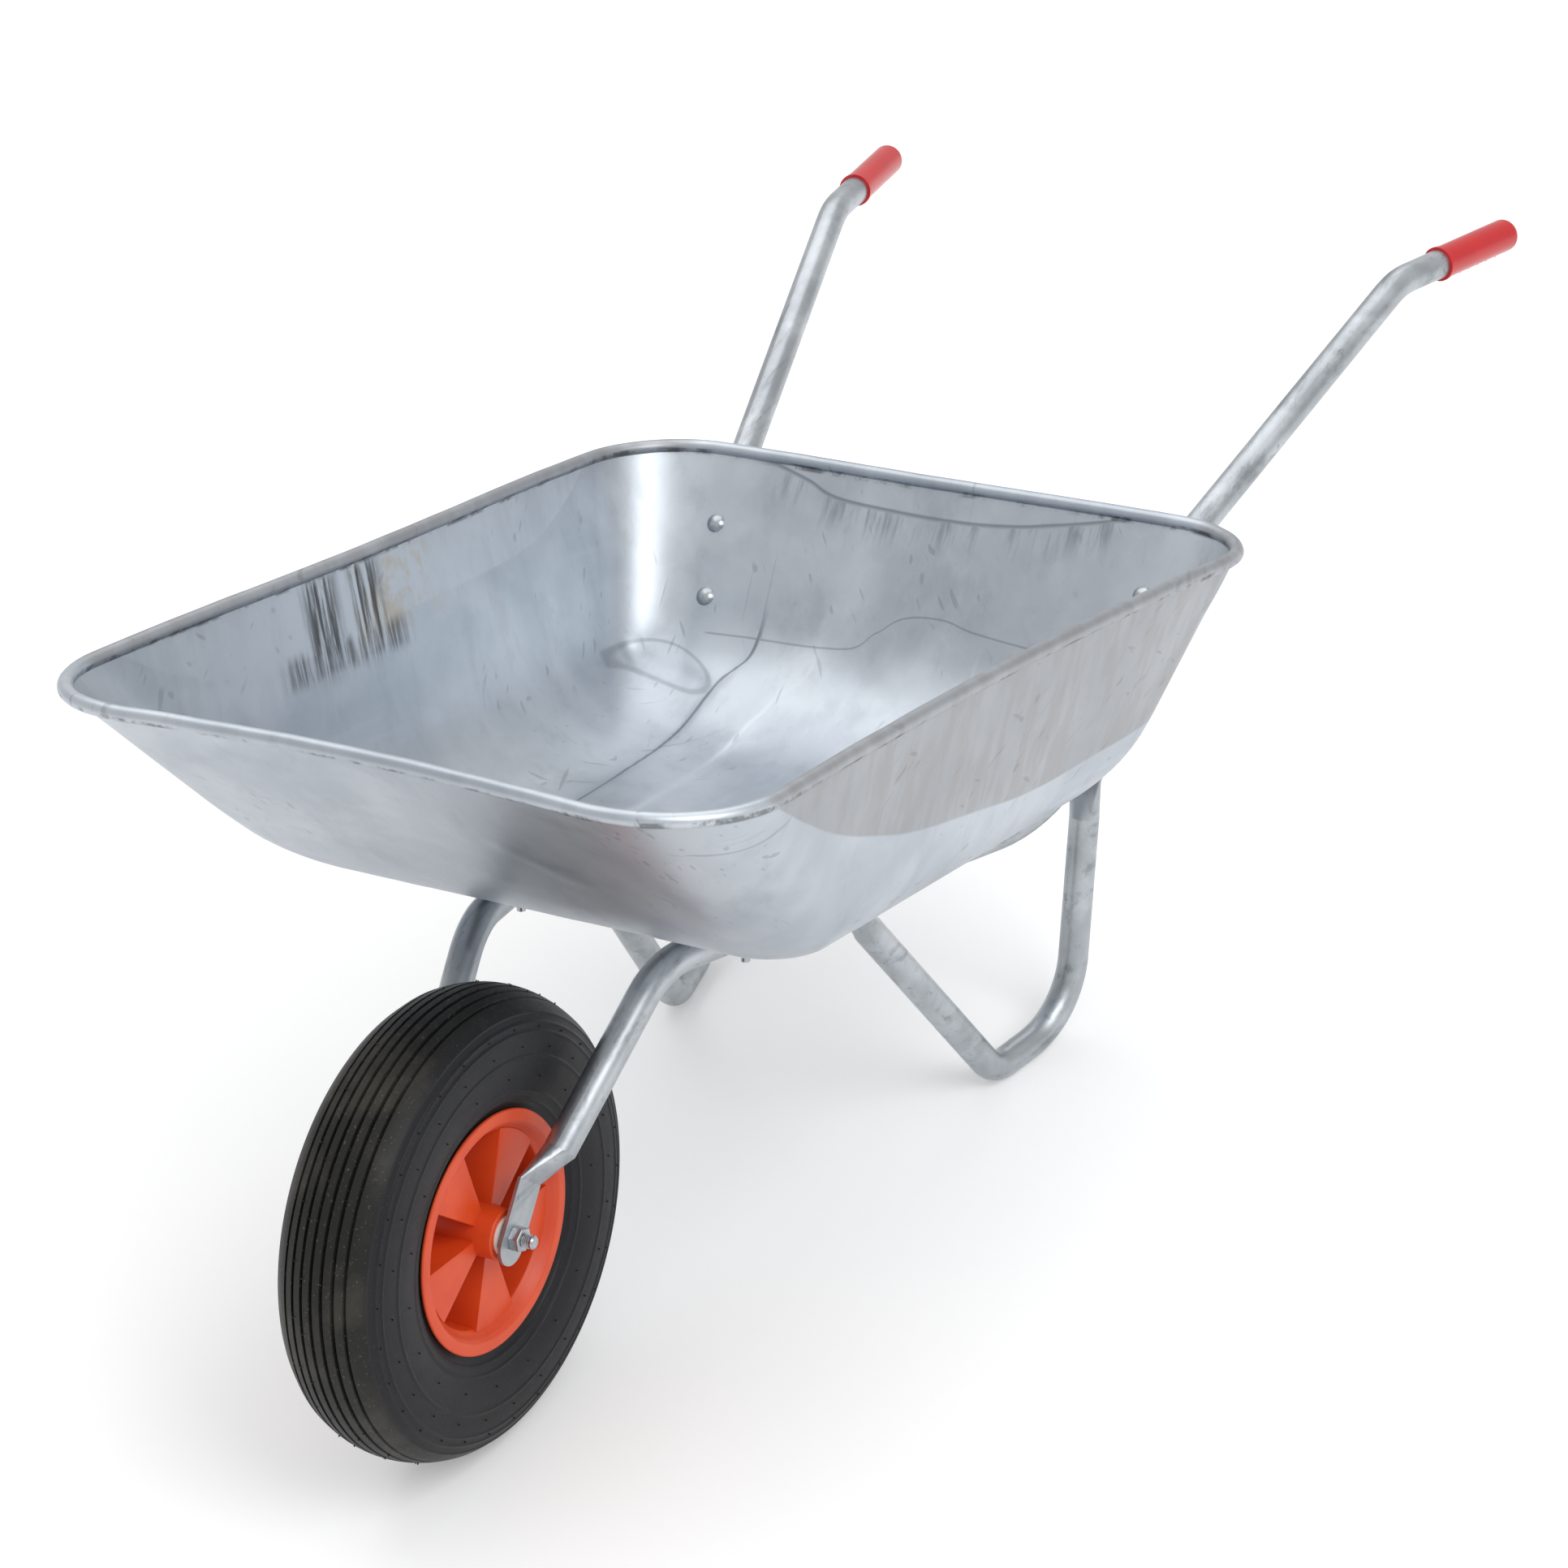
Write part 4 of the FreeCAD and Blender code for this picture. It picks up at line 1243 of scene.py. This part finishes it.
    def build_sheet(self) -> bpy.types.Object:
        """Shapes a grid into the tray and gives it its thickness.

        Returns:
            The sheet.
        """
        deselect()
        along, across = self.cells
        bpy.ops.mesh.primitive_grid_add(x_subdivisions=along, y_subdivisions=across, size=2)
        sheet = named("pan_sheet")
        mesh = sheet.data
        places = [self.surface(v.co.x, v.co.y) for v in mesh.vertices]
        for vertex, spot in zip(mesh.vertices, places):
            vertex.co = self.world(*spot)
        clean(sheet, 1e-7)
        middle = min(mesh.polygons, key=lambda f: (f.center - self.world(-0.55, 0, 0)).length)
        if middle.normal.dot(self.up) > 0:
            take(sheet)
            bpy.ops.object.mode_set(mode="EDIT")
            bpy.ops.mesh.select_all(action="SELECT")
            bpy.ops.mesh.flip_normals()
            bpy.ops.object.mode_set(mode="OBJECT")
        outward = [v.normal.copy() for v in mesh.vertices]
        for vertex, normal in zip(mesh.vertices, outward):
            vertex.co = vertex.co - normal * self.relief(self.local(vertex.co))
        solid = sheet.modifiers.new("thickness", "SOLIDIFY")
        solid.thickness = self.sheet
        solid.offset = -1
        apply_modifiers(sheet)
        middle_spot = self.world(-0.52, 0, 0.25)
        marks = mesh.attributes.new("inside", "FLOAT", "POINT")
        for mark, vertex in zip(marks.data, mesh.vertices):
            mark.value = float(vertex.normal.dot(middle_spot - vertex.co) > 0)
        smooth(sheet, 50)
        log.info("pan sheet: %d faces", len(mesh.polygons))
        return sheet

    def build_bead(self) -> bpy.types.Object:
        """Rolls the rim as a round bead along the sheet's edge.

        Returns:
            The bead.
        """
        side = [-1 + 2 * k / self.bead_facets for k in range(self.bead_facets)]
        walk = [(1.0, e) for e in side] + [(-e, 1.0) for e in side]
        walk += [(-1.0, -e) for e in side] + [(e, -1.0) for e in side]
        points: list[Point] = []
        for s, t in walk:
            wave = noise.noise(Vector((s, t, 0)) * 8) * self.bead_wave
            points.append(self.world(*(self.surface(s, t) + Vector((0, 0, wave)))))
        bead = drawn_line("pan_bead", points, closed=True)
        take(bead)
        bpy.ops.object.convert(target="CURVE")
        curve = bpy.context.object.data
        curve.bevel_depth = self.bead
        curve.bevel_resolution = 6
        bpy.ops.object.convert(target="MESH")
        bead = named("pan_bead")
        clean(bead, 1e-6)
        smooth(bead, 60)
        log.info("pan bead: %d faces", len(bead.data.polygons))
        return bead

    def build(self) -> None:
        """Builds and dresses the pan."""
        for node in ("pan_bolts_short", "pan_bolts_long"):
            self.bolts += [self.local(top) for top in islands(frame["nodes"][node])]
        finish = GalvanisedSheet(self.origin, self.tilt).material()
        for piece in (self.build_sheet(), self.build_bead()):
            dress(piece, finish, "frame")
            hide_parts("pan")


def islands(piece: bpy.types.Object) -> list[Vector]:
    """The highest point of each separate solid of a mesh.

    Args:
        piece: The mesh object.

    Returns:
        One point for each solid.
    """
    work = bmesh.new()
    work.from_mesh(piece.data)
    left = set(work.verts)
    tops: list[Vector] = []
    while left:
        reach, solid = [left.pop()], []
        while reach:
            vertex = reach.pop()
            solid.append(vertex)
            for edge in vertex.link_edges:
                other = edge.other_vert(vertex)
                if other in left:
                    left.discard(other)
                    reach.append(other)
        tops.append(max((v.co for v in solid), key=lambda c: c.z).copy())
    work.free()
    return tops


def dress(
    piece: bpy.types.Object, finish: bpy.types.Material, body: str
) -> bpy.types.Object:
    """Gives a new piece its only material and its body.

    Args:
        piece: The finished piece.
        finish: Its material.
        body: The body that it rides on.

    Returns:
        The piece.
    """
    piece.data.materials.clear()
    piece.data.materials.append(finish)
    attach(piece, body)
    return piece


def coat(node: str, finish: bpy.types.Material) -> None:
    """Puts a better material on a carried-over CAD piece."""
    for slot in frame["nodes"][node].material_slots:
        slot.material = finish
    log.info("coated %s", node)


# ------------------------------------------------------------------ wheel
ACROSS = Vector((0, 1, 0))


def outwards(angle: float) -> Vector:
    """Unit vector away from the axle, at an angle in radians from forward towards up."""
    return Vector((math.cos(angle), 0, math.sin(angle)))


@dataclass
class Tyre:
    """A ribbed pneumatic tyre with moulded rings and vent hairs."""

    radius: float = 0.200
    half_width: float = 0.049
    wall: float = 0.0055
    bead_half: float = 0.0372
    bead_foot: float = 0.0972
    crown_half: float = 0.0345
    crown_drop: float = 0.0088
    grooves: tuple[tuple[float, float, float], ...] = (
        (0.0, 0.0024, 0.0032),
        (0.0096, 0.0024, 0.0032),
        (0.0192, 0.0024, 0.0032),
        (0.0286, 0.0020, 0.0026),
    )
    rings: tuple[float, ...] = (0.1845, 0.1770, 0.1700, 0.1500, 0.1200, 0.1120)
    ring_height: float = 0.0011
    ring_width: float = 0.0011
    knot_steps: int = 14
    tread_hairs: Table = ((0.0083, 0.0), (-0.0083, 0.5), (0.0178, 0.25), (-0.0178, 0.75))
    tread_hair_count: int = 26
    wall_hairs: tuple[tuple[float, float, int, float], ...] = (
        (0.1735, 0.0463, 30, 0.2),
        (0.1580, 0.0487, 24, 0.6),
        (0.1330, 0.0475, 18, 0.4),
    )
    steps: int = 192

    def tread(self) -> list[tuple[float, float]]:
        """Half of the tread's section, from the middle out to the shoulder.

        Returns:
            Points of (across, radius).
        """
        points: list[tuple[float, float]] = []
        for place, width, depth in self.grooves:
            low = self.crown(place) - depth
            lip, floor = width / 2 + 0.0004, width / 2 - 0.0003
            if place > 0:
                points += [(place - lip, self.crown(place - lip)), (place - floor, low)]
            points += [(place + floor, low), (place + lip, self.crown(place + lip))]
        return points + [(self.crown_half, self.crown(self.crown_half))]

    def crown(self, across: float) -> float:
        """Radius of the tread's face at a distance from the middle."""
        return self.radius - self.crown_drop * (across / self.crown_half) ** 2

    def side(self) -> list[tuple[float, float]]:
        """Half of the outer section from the shoulder down to the bead.

        Returns:
            Points of (across, radius).
        """
        knots = [
            (self.crown_half, self.crown(self.crown_half)),
            (0.0405, 0.1862),
            (0.0452, 0.1775),
            (0.0482, 0.1650),
            (self.half_width, 0.1505),
            (0.0482, 0.1370),
            (0.0455, 0.1240),
            (0.0415, 0.1130),
            (self.bead_half, 0.1052),
            (self.bead_half, self.bead_foot),
        ]
        points: list[tuple[float, float]] = []
        for i in range(1, len(knots) - 2):
            a, b, c, d = (Vector(knots[max(0, min(len(knots) - 1, i + k))]) for k in (-1, 0, 1, 2))
            for step in range(self.knot_steps):
                t = step / self.knot_steps
                spot = 2 * b + (c - a) * t + (2 * a - 5 * b + 4 * c - d) * t * t
                spot = 0.5 * (spot + (3 * b - a - 3 * c + d) * t**3)
                lifts = [math.exp(-(((spot.y - r) / self.ring_width) ** 2)) for r in self.rings]
                lift = sum(self.ring_height * share for share in lifts)
                points.append((spot.x + lift * 0.9, spot.y))
        return points + [knots[-2], knots[-1]]

    def inside(self) -> list[tuple[float, float]]:
        """Half of the inner section, from the bead up to the middle of the crown.

        Returns:
            Points of (across, radius).
        """
        foot = self.bead_half - 1.4 * self.wall
        return [
            (foot, self.bead_foot),
            (foot + 0.001, 0.1062),
            (0.0405, 0.1290),
            (self.half_width - self.wall, 0.1505),
            (0.0402, 0.1720),
            (0.0315, 0.1862),
            (0.0160, 0.1925),
            (0.0, self.radius - self.wall - 0.0005),
        ]

    def build_body(self) -> bpy.types.Object:
        """Turns the tyre's closed section about the axle.

        Returns:
            The tyre without its hairs.
        """
        half = self.tread() + self.side()
        inner = self.inside()
        section = half + inner + [(-a, r) for a, r in reversed(inner[:-1])]
        section += [(-a, r) for a, r in reversed(half)]
        body = lathe("tyre_body", section, AXLE, ACROSS, self.steps, closed=True)
        log.info("tyre body: %d faces", len(body.data.polygons))
        return body

    def build_hairs(self) -> bpy.types.Object:
        """Stands rows of moulding hairs on the ribs and the walls.

        Returns:
            All the hairs as one piece.
        """
        spots: list[tuple[Vector, Vector]] = []
        for across, shift in self.tread_hairs:
            for k in range(self.tread_hair_count):
                out = outwards(TAU * (k + shift) / self.tread_hair_count)
                spots.append((AXLE + ACROSS * across + out * self.crown(across), out))
        for radius, depth, count, shift in self.wall_hairs:
            for hand in (1, -1):
                for k in range(count):
                    out = outwards(TAU * (k + shift) / count)
                    place = AXLE + ACROSS * (hand * depth) + out * radius
                    spots.append((place, ACROSS * hand))
        deselect()
        bpy.ops.mesh.primitive_cone_add(vertices=6, radius1=0.0008, radius2=0.0006, depth=0.0026)
        first = settle(named("tyre_hair"))
        work: list[bpy.types.Object] = []
        for spot, out in spots:
            stand = out.to_track_quat("Z", "Y").to_matrix().to_4x4()
            work.append(copy_of(first, Matrix.Translation(spot) @ stand))
        bpy.data.objects.remove(first)
        return join(work, "tyre_hairs")

    def build(self) -> None:
        """Builds and dresses the tyre."""
        tyre = join([self.build_body(), self.build_hairs()], "tyre_moulded")
        smooth(tyre, 32)
        dress(tyre, TyreRubber().material(), "wheel")
        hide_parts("tyre")


@dataclass
class WheelRim:
    """The moulded rim: a flanged barrel, a hub and five fan-shaped hollow spokes."""

    half_width: float = 0.041
    flange: float = 0.104
    seat: float = 0.0968
    well: float = 0.088
    wall: float = 0.004
    hub: float = 0.022
    hub_half: float = 0.050
    bore: float = 0.010
    bush_bore: float = 0.0131
    bush_depth: float = 0.022
    spokes: int = 5
    phase: float = math.radians(62.0)
    half_angle: float = math.radians(18.0)
    face: float = 0.033
    spoke_wall: float = 0.0032
    fillet: float = 0.0022
    steps: int = 160

    def build_barrel(self) -> bpy.types.Object:
        """Turns the barrel with its rolled flange lips.

        Returns:
            The barrel.
        """
        seat, inside = self.half_width - 0.0034, self.well - self.wall
        half = [
            (0.014, self.well, 0.003),
            (0.022, self.seat, 0.002),
            (seat, self.seat, 0.0008),
            (seat, self.flange, 0.0014),
            (self.half_width, self.flange, 0.0019),
            (self.half_width, self.flange - 0.0102, 0.0022),
            (self.half_width - 0.0035, self.flange - 0.0135, 0.0016),
            (self.face + 0.0005, inside + 0.0035, 0.0015),
            (self.face - 0.003, inside, 0.003),
        ]
        section = rounded(half + [(-a, r, f) for a, r, f in reversed(half)], 4, closed=True)
        return lathe("rim_barrel", section, AXLE, ACROSS, self.steps, closed=True)

    def build_hub(self) -> bpy.types.Object:
        """Turns the hub with a stepped bore for its bushes.

        Returns:
            The hub.
        """
        bush = self.hub_half - self.bush_depth
        half = [
            (bush, self.bore, 0.0),
            (bush, self.bush_bore, 0.0),
            (self.hub_half, self.bush_bore, 0.0006),
            (self.hub_half, self.hub, 0.0016),
        ]
        section = rounded(half + [(-a, r, f) for a, r, f in reversed(half)], 3, closed=True)
        return lathe("rim_hub", section, AXLE, ACROSS, 96, closed=True)

    def outline(self, inset: float) -> list[tuple[float, float]]:
        """A fan's outline about the Z axis, as (sideways, outwards) points.

        Args:
            inset: Distance that the outline is drawn in by.

        Returns:
            The points of the closed outline.
        """
        low, high = self.hub - 0.003 + inset, self.well - self.wall + 0.002 - inset
        points: list[tuple[float, float]] = []
        for radius, ends in ((high, (-1, 1)), (low, (1, -1))):
            reach = self.half_angle - math.asin(min(0.9, inset / radius))
            for k in range(13):
                angle = reach * (ends[0] + (ends[1] - ends[0]) * k / 12)
                points.append((radius * math.sin(angle), radius * math.cos(angle)))
        return points

    def build_spoke(self) -> bpy.types.Object:
        """Draws one fan, thickens it, hollows its far side and rounds its edges.

        Returns:
            The fan, centred on the Y axis.
        """
        outline = self.outline(0.0)
        spoke = drawn_line("rim_spoke", [(x, self.face, z) for x, z in outline], closed=True)
        take(spoke)
        bpy.ops.object.mode_set(mode="EDIT")
        bpy.ops.mesh.select_all(action="SELECT")
        bpy.ops.mesh.edge_face_add()
        bpy.ops.mesh.extrude_region_move(TRANSFORM_OT_translate={"value": (0, -2 * self.face, 0)})
        bpy.ops.mesh.select_all(action="SELECT")
        bpy.ops.mesh.normals_make_consistent(inside=False)
        choose_faces(spoke, lambda face: face.center.y < -0.99 * self.face)
        bpy.ops.mesh.inset(thickness=self.spoke_wall, use_even_offset=True)
        hollow = 2 * self.face - self.spoke_wall
        bpy.ops.mesh.extrude_region_move(TRANSFORM_OT_translate={"value": (0, hollow, 0)})
        bpy.ops.object.mode_set(mode="OBJECT")
        round_edges(spoke, self.fillet, 3, 50)
        return spoke

    def build(self) -> None:
        """Builds and dresses the rim."""
        first = self.build_spoke()
        parts = [self.build_barrel(), self.build_hub()]
        for k in range(self.spokes):
            turn = Matrix.Rotation(math.pi / 2 - self.phase - TAU * k / self.spokes, 4, "Y")
            parts.append(copy_of(first, Matrix.Translation(AXLE) @ turn))
        bpy.data.objects.remove(first)
        rim = join(parts, "wheel_rim_moulded")
        smooth(rim, 38)
        orange, deep = (0.66, 0.066, 0.010), (0.54, 0.040, 0.006)
        finish = Moulding("rim_plastic", orange, deep, 0.38, 0.00010)
        dress(rim, finish.material(), "wheel")
        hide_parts("wheel_rim")
        log.info("rim: %d faces", len(rim.data.polygons))


# ------------------------------------------------------------------ axle fasteners
@dataclass
class AxleFasteners:
    """The axle's hexagon bolt, threaded at its free end, and its chamfered nut."""

    radius: float = 0.006
    crest: float = 0.0059
    root: float = 0.0050
    pitch: float = 0.00175
    thread: float = 0.022
    flats: float = 0.019
    edge: float = 0.0009
    chamfer: float = 0.0016
    turned_down: float = 0.0009

    def hexagon(self, name: str, low: float, high: float, top: int) -> bpy.types.Object:
        """Shapes a hexagon with turned-down corners on its outer end.

        Args:
            name: Name of the new piece.
            low: Lower end across the barrow.
            high: Upper end across the barrow.
            top: 1 if the outer end is the upper one, otherwise -1.

        Returns:
            The piece.
        """
        deselect()
        corner = self.flats / 2 / math.cos(math.pi / 6)
        place = AXLE + ACROSS * ((low + high) / 2)
        turn = (-math.pi / 2 * top, 0, 0)
        bpy.ops.mesh.primitive_cylinder_add(
            vertices=6, radius=corner, depth=high - low, rotation=turn, location=place
        )
        piece = settle(named(name))
        choose_faces(piece, lambda face: face.normal.y * top > 0.99)
        bpy.ops.mesh.inset(thickness=self.chamfer)
        bpy.ops.transform.translate(value=(0, self.turned_down * top, 0))
        bpy.ops.mesh.inset(thickness=0.0004)
        bpy.ops.object.mode_set(mode="OBJECT")
        round_edges(piece, self.edge / 2, 2, 25)
        clean(piece, 1e-6)
        return piece

    def build_bolt(self) -> bpy.types.Object:
        """Turns the shank and its thread, and adds the head.

        Returns:
            The bolt.
        """
        low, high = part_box("axle_bolt")
        head_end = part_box("axle_spacers")[0].y - 0.003
        start, end = high.y - self.thread, high.y
        section = [(head_end, 0.0), (head_end, self.radius), (start, self.radius)]
        count = int((end - start - 0.0015) / self.pitch)
        for k in range(count):
            here = start + k * self.pitch
            section += [(here + 0.0002, self.crest), (here + self.pitch / 2, self.root)]
            section += [(here + self.pitch - 0.0002, self.crest)]
        section += [(end - 0.0014, self.crest), (end, self.root - 0.0004), (end, 0.0)]
        shank = lathe("axle_shank", section, AXLE, ACROSS, 40)
        head = self.hexagon("axle_head", low.y + self.turned_down, head_end, -1)
        return join([shank, head], "axle_bolt_threaded")

    def build_nut(self) -> bpy.types.Object:
        """Shapes the nut on the free end."""
        low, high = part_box("axle_nut")
        return self.hexagon("axle_nut_chamfered", low.y, high.y - self.turned_down, 1)

    def build(self) -> None:
        """Builds and dresses the bolt and the nut."""
        finish = ZincCoat("axle_zinc", Metal.PLATED).material()
        for piece, node in ((self.build_bolt(), "axle_bolt"), (self.build_nut(), "axle_nut")):
            smooth(piece, 30)
            dress(piece, finish, "frame")
            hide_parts(node)
            log.info("%s: %d faces", piece.name, len(piece.data.polygons))


# ------------------------------------------------------------------ studio
@dataclass
class Studio:
    """A pale floor, soft lights and the camera."""

    eye: Vector = field(default_factory=lambda: Vector((2.94158, 1.9195, 2.3190)))
    target: Vector = field(default_factory=lambda: Vector((0.05268, -0.0007, 0.300)))
    roll: float = -0.1233
    lens: float = 102.2
    sensor: float = 36.0
    floor_size: float = 40.0
    surrounding: float = 0.70
    white: tuple[float, float, float, float] = (1.0, 1.0, 1.0, 1.0)

    def build_floor(self) -> None:
        """Lays the floor."""
        deselect()
        bpy.ops.mesh.primitive_plane_add(size=self.floor_size, location=(0, 0, 0))
        floor = named("floor")
        settle(floor)
        paint = Paint("floor_white")
        speck = paint.noise(paint.place(), 3.0, 2.0, 0.5)
        shade = paint.blend(speck, (0.82, 0.82, 0.82), (0.84, 0.84, 0.84))
        white = paint.finish(
            Base_Color=shade, Roughness=0.9, Emission_Color=self.white, Emission_Strength=0.22
        )
        floor.data.materials.append(white)

    def add_light(self, name: str, place: Point, size: float, power: float) -> None:
        """Adds a square area light that looks at the pan.

        Args:
            name: The light's name.
            place: Where it hangs.
            size: Length of its sides in metres.
            power: Its power in watts.
        """
        aim = (0, 0, 0.35)
        deselect()
        bpy.ops.object.light_add(type="AREA", location=place)
        lamp = bpy.context.object
        lamp.name = name
        lamp.data.size = size
        lamp.data.energy = power
        lamp.rotation_euler = (Vector(aim) - Vector(place)).to_track_quat("-Z", "Y").to_euler()

    def build_world(self) -> None:
        """Sets the even surrounding light."""
        world = bpy.data.worlds.new("studio")
        world.use_nodes = True
        back = world.node_tree.nodes["Background"]
        back.inputs["Color"].default_value = self.white
        back.inputs["Strength"].default_value = self.surrounding
        bpy.context.scene.world = world

    def build_camera(self) -> None:
        """Sets the camera."""
        bpy.ops.object.camera_add(location=self.eye)
        camera = bpy.context.object
        camera.name = "camera"
        ahead = (self.target - self.eye).normalized()
        right = ahead.cross(Vector((0, 0, 1))).normalized()
        up = right.cross(ahead)
        c, s = math.cos(self.roll), math.sin(self.roll)
        turned_right, turned_up = right * c + up * s, up * c - right * s
        axes = Matrix((turned_right, turned_up, -ahead)).transposed()
        camera.matrix_world = Matrix.Translation(self.eye) @ axes.to_4x4()
        camera.data.lens = self.lens
        camera.data.sensor_width = self.sensor
        camera.data.clip_end = 60.0
        bpy.context.scene.camera = camera

    def build(self) -> None:
        """Builds the whole studio."""
        self.build_floor()
        self.build_world()
        self.add_light("key", (-1.2, -1.0, 4.2), 5.0, 95.0)
        self.add_light("side", (1.1, 2.9, 3.2), 2.4, 72.0)
        self.build_camera()
        bpy.context.scene.view_settings.view_transform = "Standard"


# ------------------------------------------------------------------ whole barrow
def dress_frame() -> None:
    """Coats the carried-over steel, plastic and brass pieces."""
    drawn = ZincCoat("tube_zinc", Metal.DRAWN).material()
    plated = ZincCoat("fastener_zinc", Metal.PLATED).material()
    ivory, cream = (0.72, 0.72, 0.68), (0.60, 0.60, 0.56)
    jet, pitch = (0.02, 0.02, 0.02), (0.012, 0.012, 0.012)
    grey, charcoal = (0.03, 0.03, 0.03), (0.02, 0.02, 0.02)
    cherry, wine = (0.50, 0.003, 0.006), (0.42, 0.003, 0.005)
    nylon = Moulding("bush_plastic", ivory, cream, 0.45, 0.00008).material()
    black = Moulding("cap_plastic", jet, pitch, 0.40, 0.00008).material()
    rubber = Moulding("tube_rubber", grey, charcoal, 0.65, 0.00015).material()
    red = Moulding("grip_plastic", cherry, wine, 0.26, 0.00006, 0.25).material()
    for side in Side:
        coat(f"frame_tube_{side.word}", drawn)
        coat(f"leg_{side.word}", drawn)
        coat(f"grip_{side.word}", red)
        coat(f"hub_bush_{side.word}", nylon)
    for node in ("axle_sleeve", "axle_spacers"):
        coat(node, plated)
    for node in ("pan_bolts_short", "pan_bolts_long", "pan_washers", "pan_nuts"):
        coat(node, plated)
    coat("valve_cap", black)
    coat("inner_tube", rubber)
    coat("valve_stem", Brass().material())


def main() -> None:
    """Builds the whole scene."""
    logging.basicConfig(level=logging.INFO, format="%(message)s")
    dress_frame()
    Pan().build()
    Tyre().build()
    WheelRim().build()
    AxleFasteners().build()
    Studio().build()


if __name__ == "__main__":
    main()
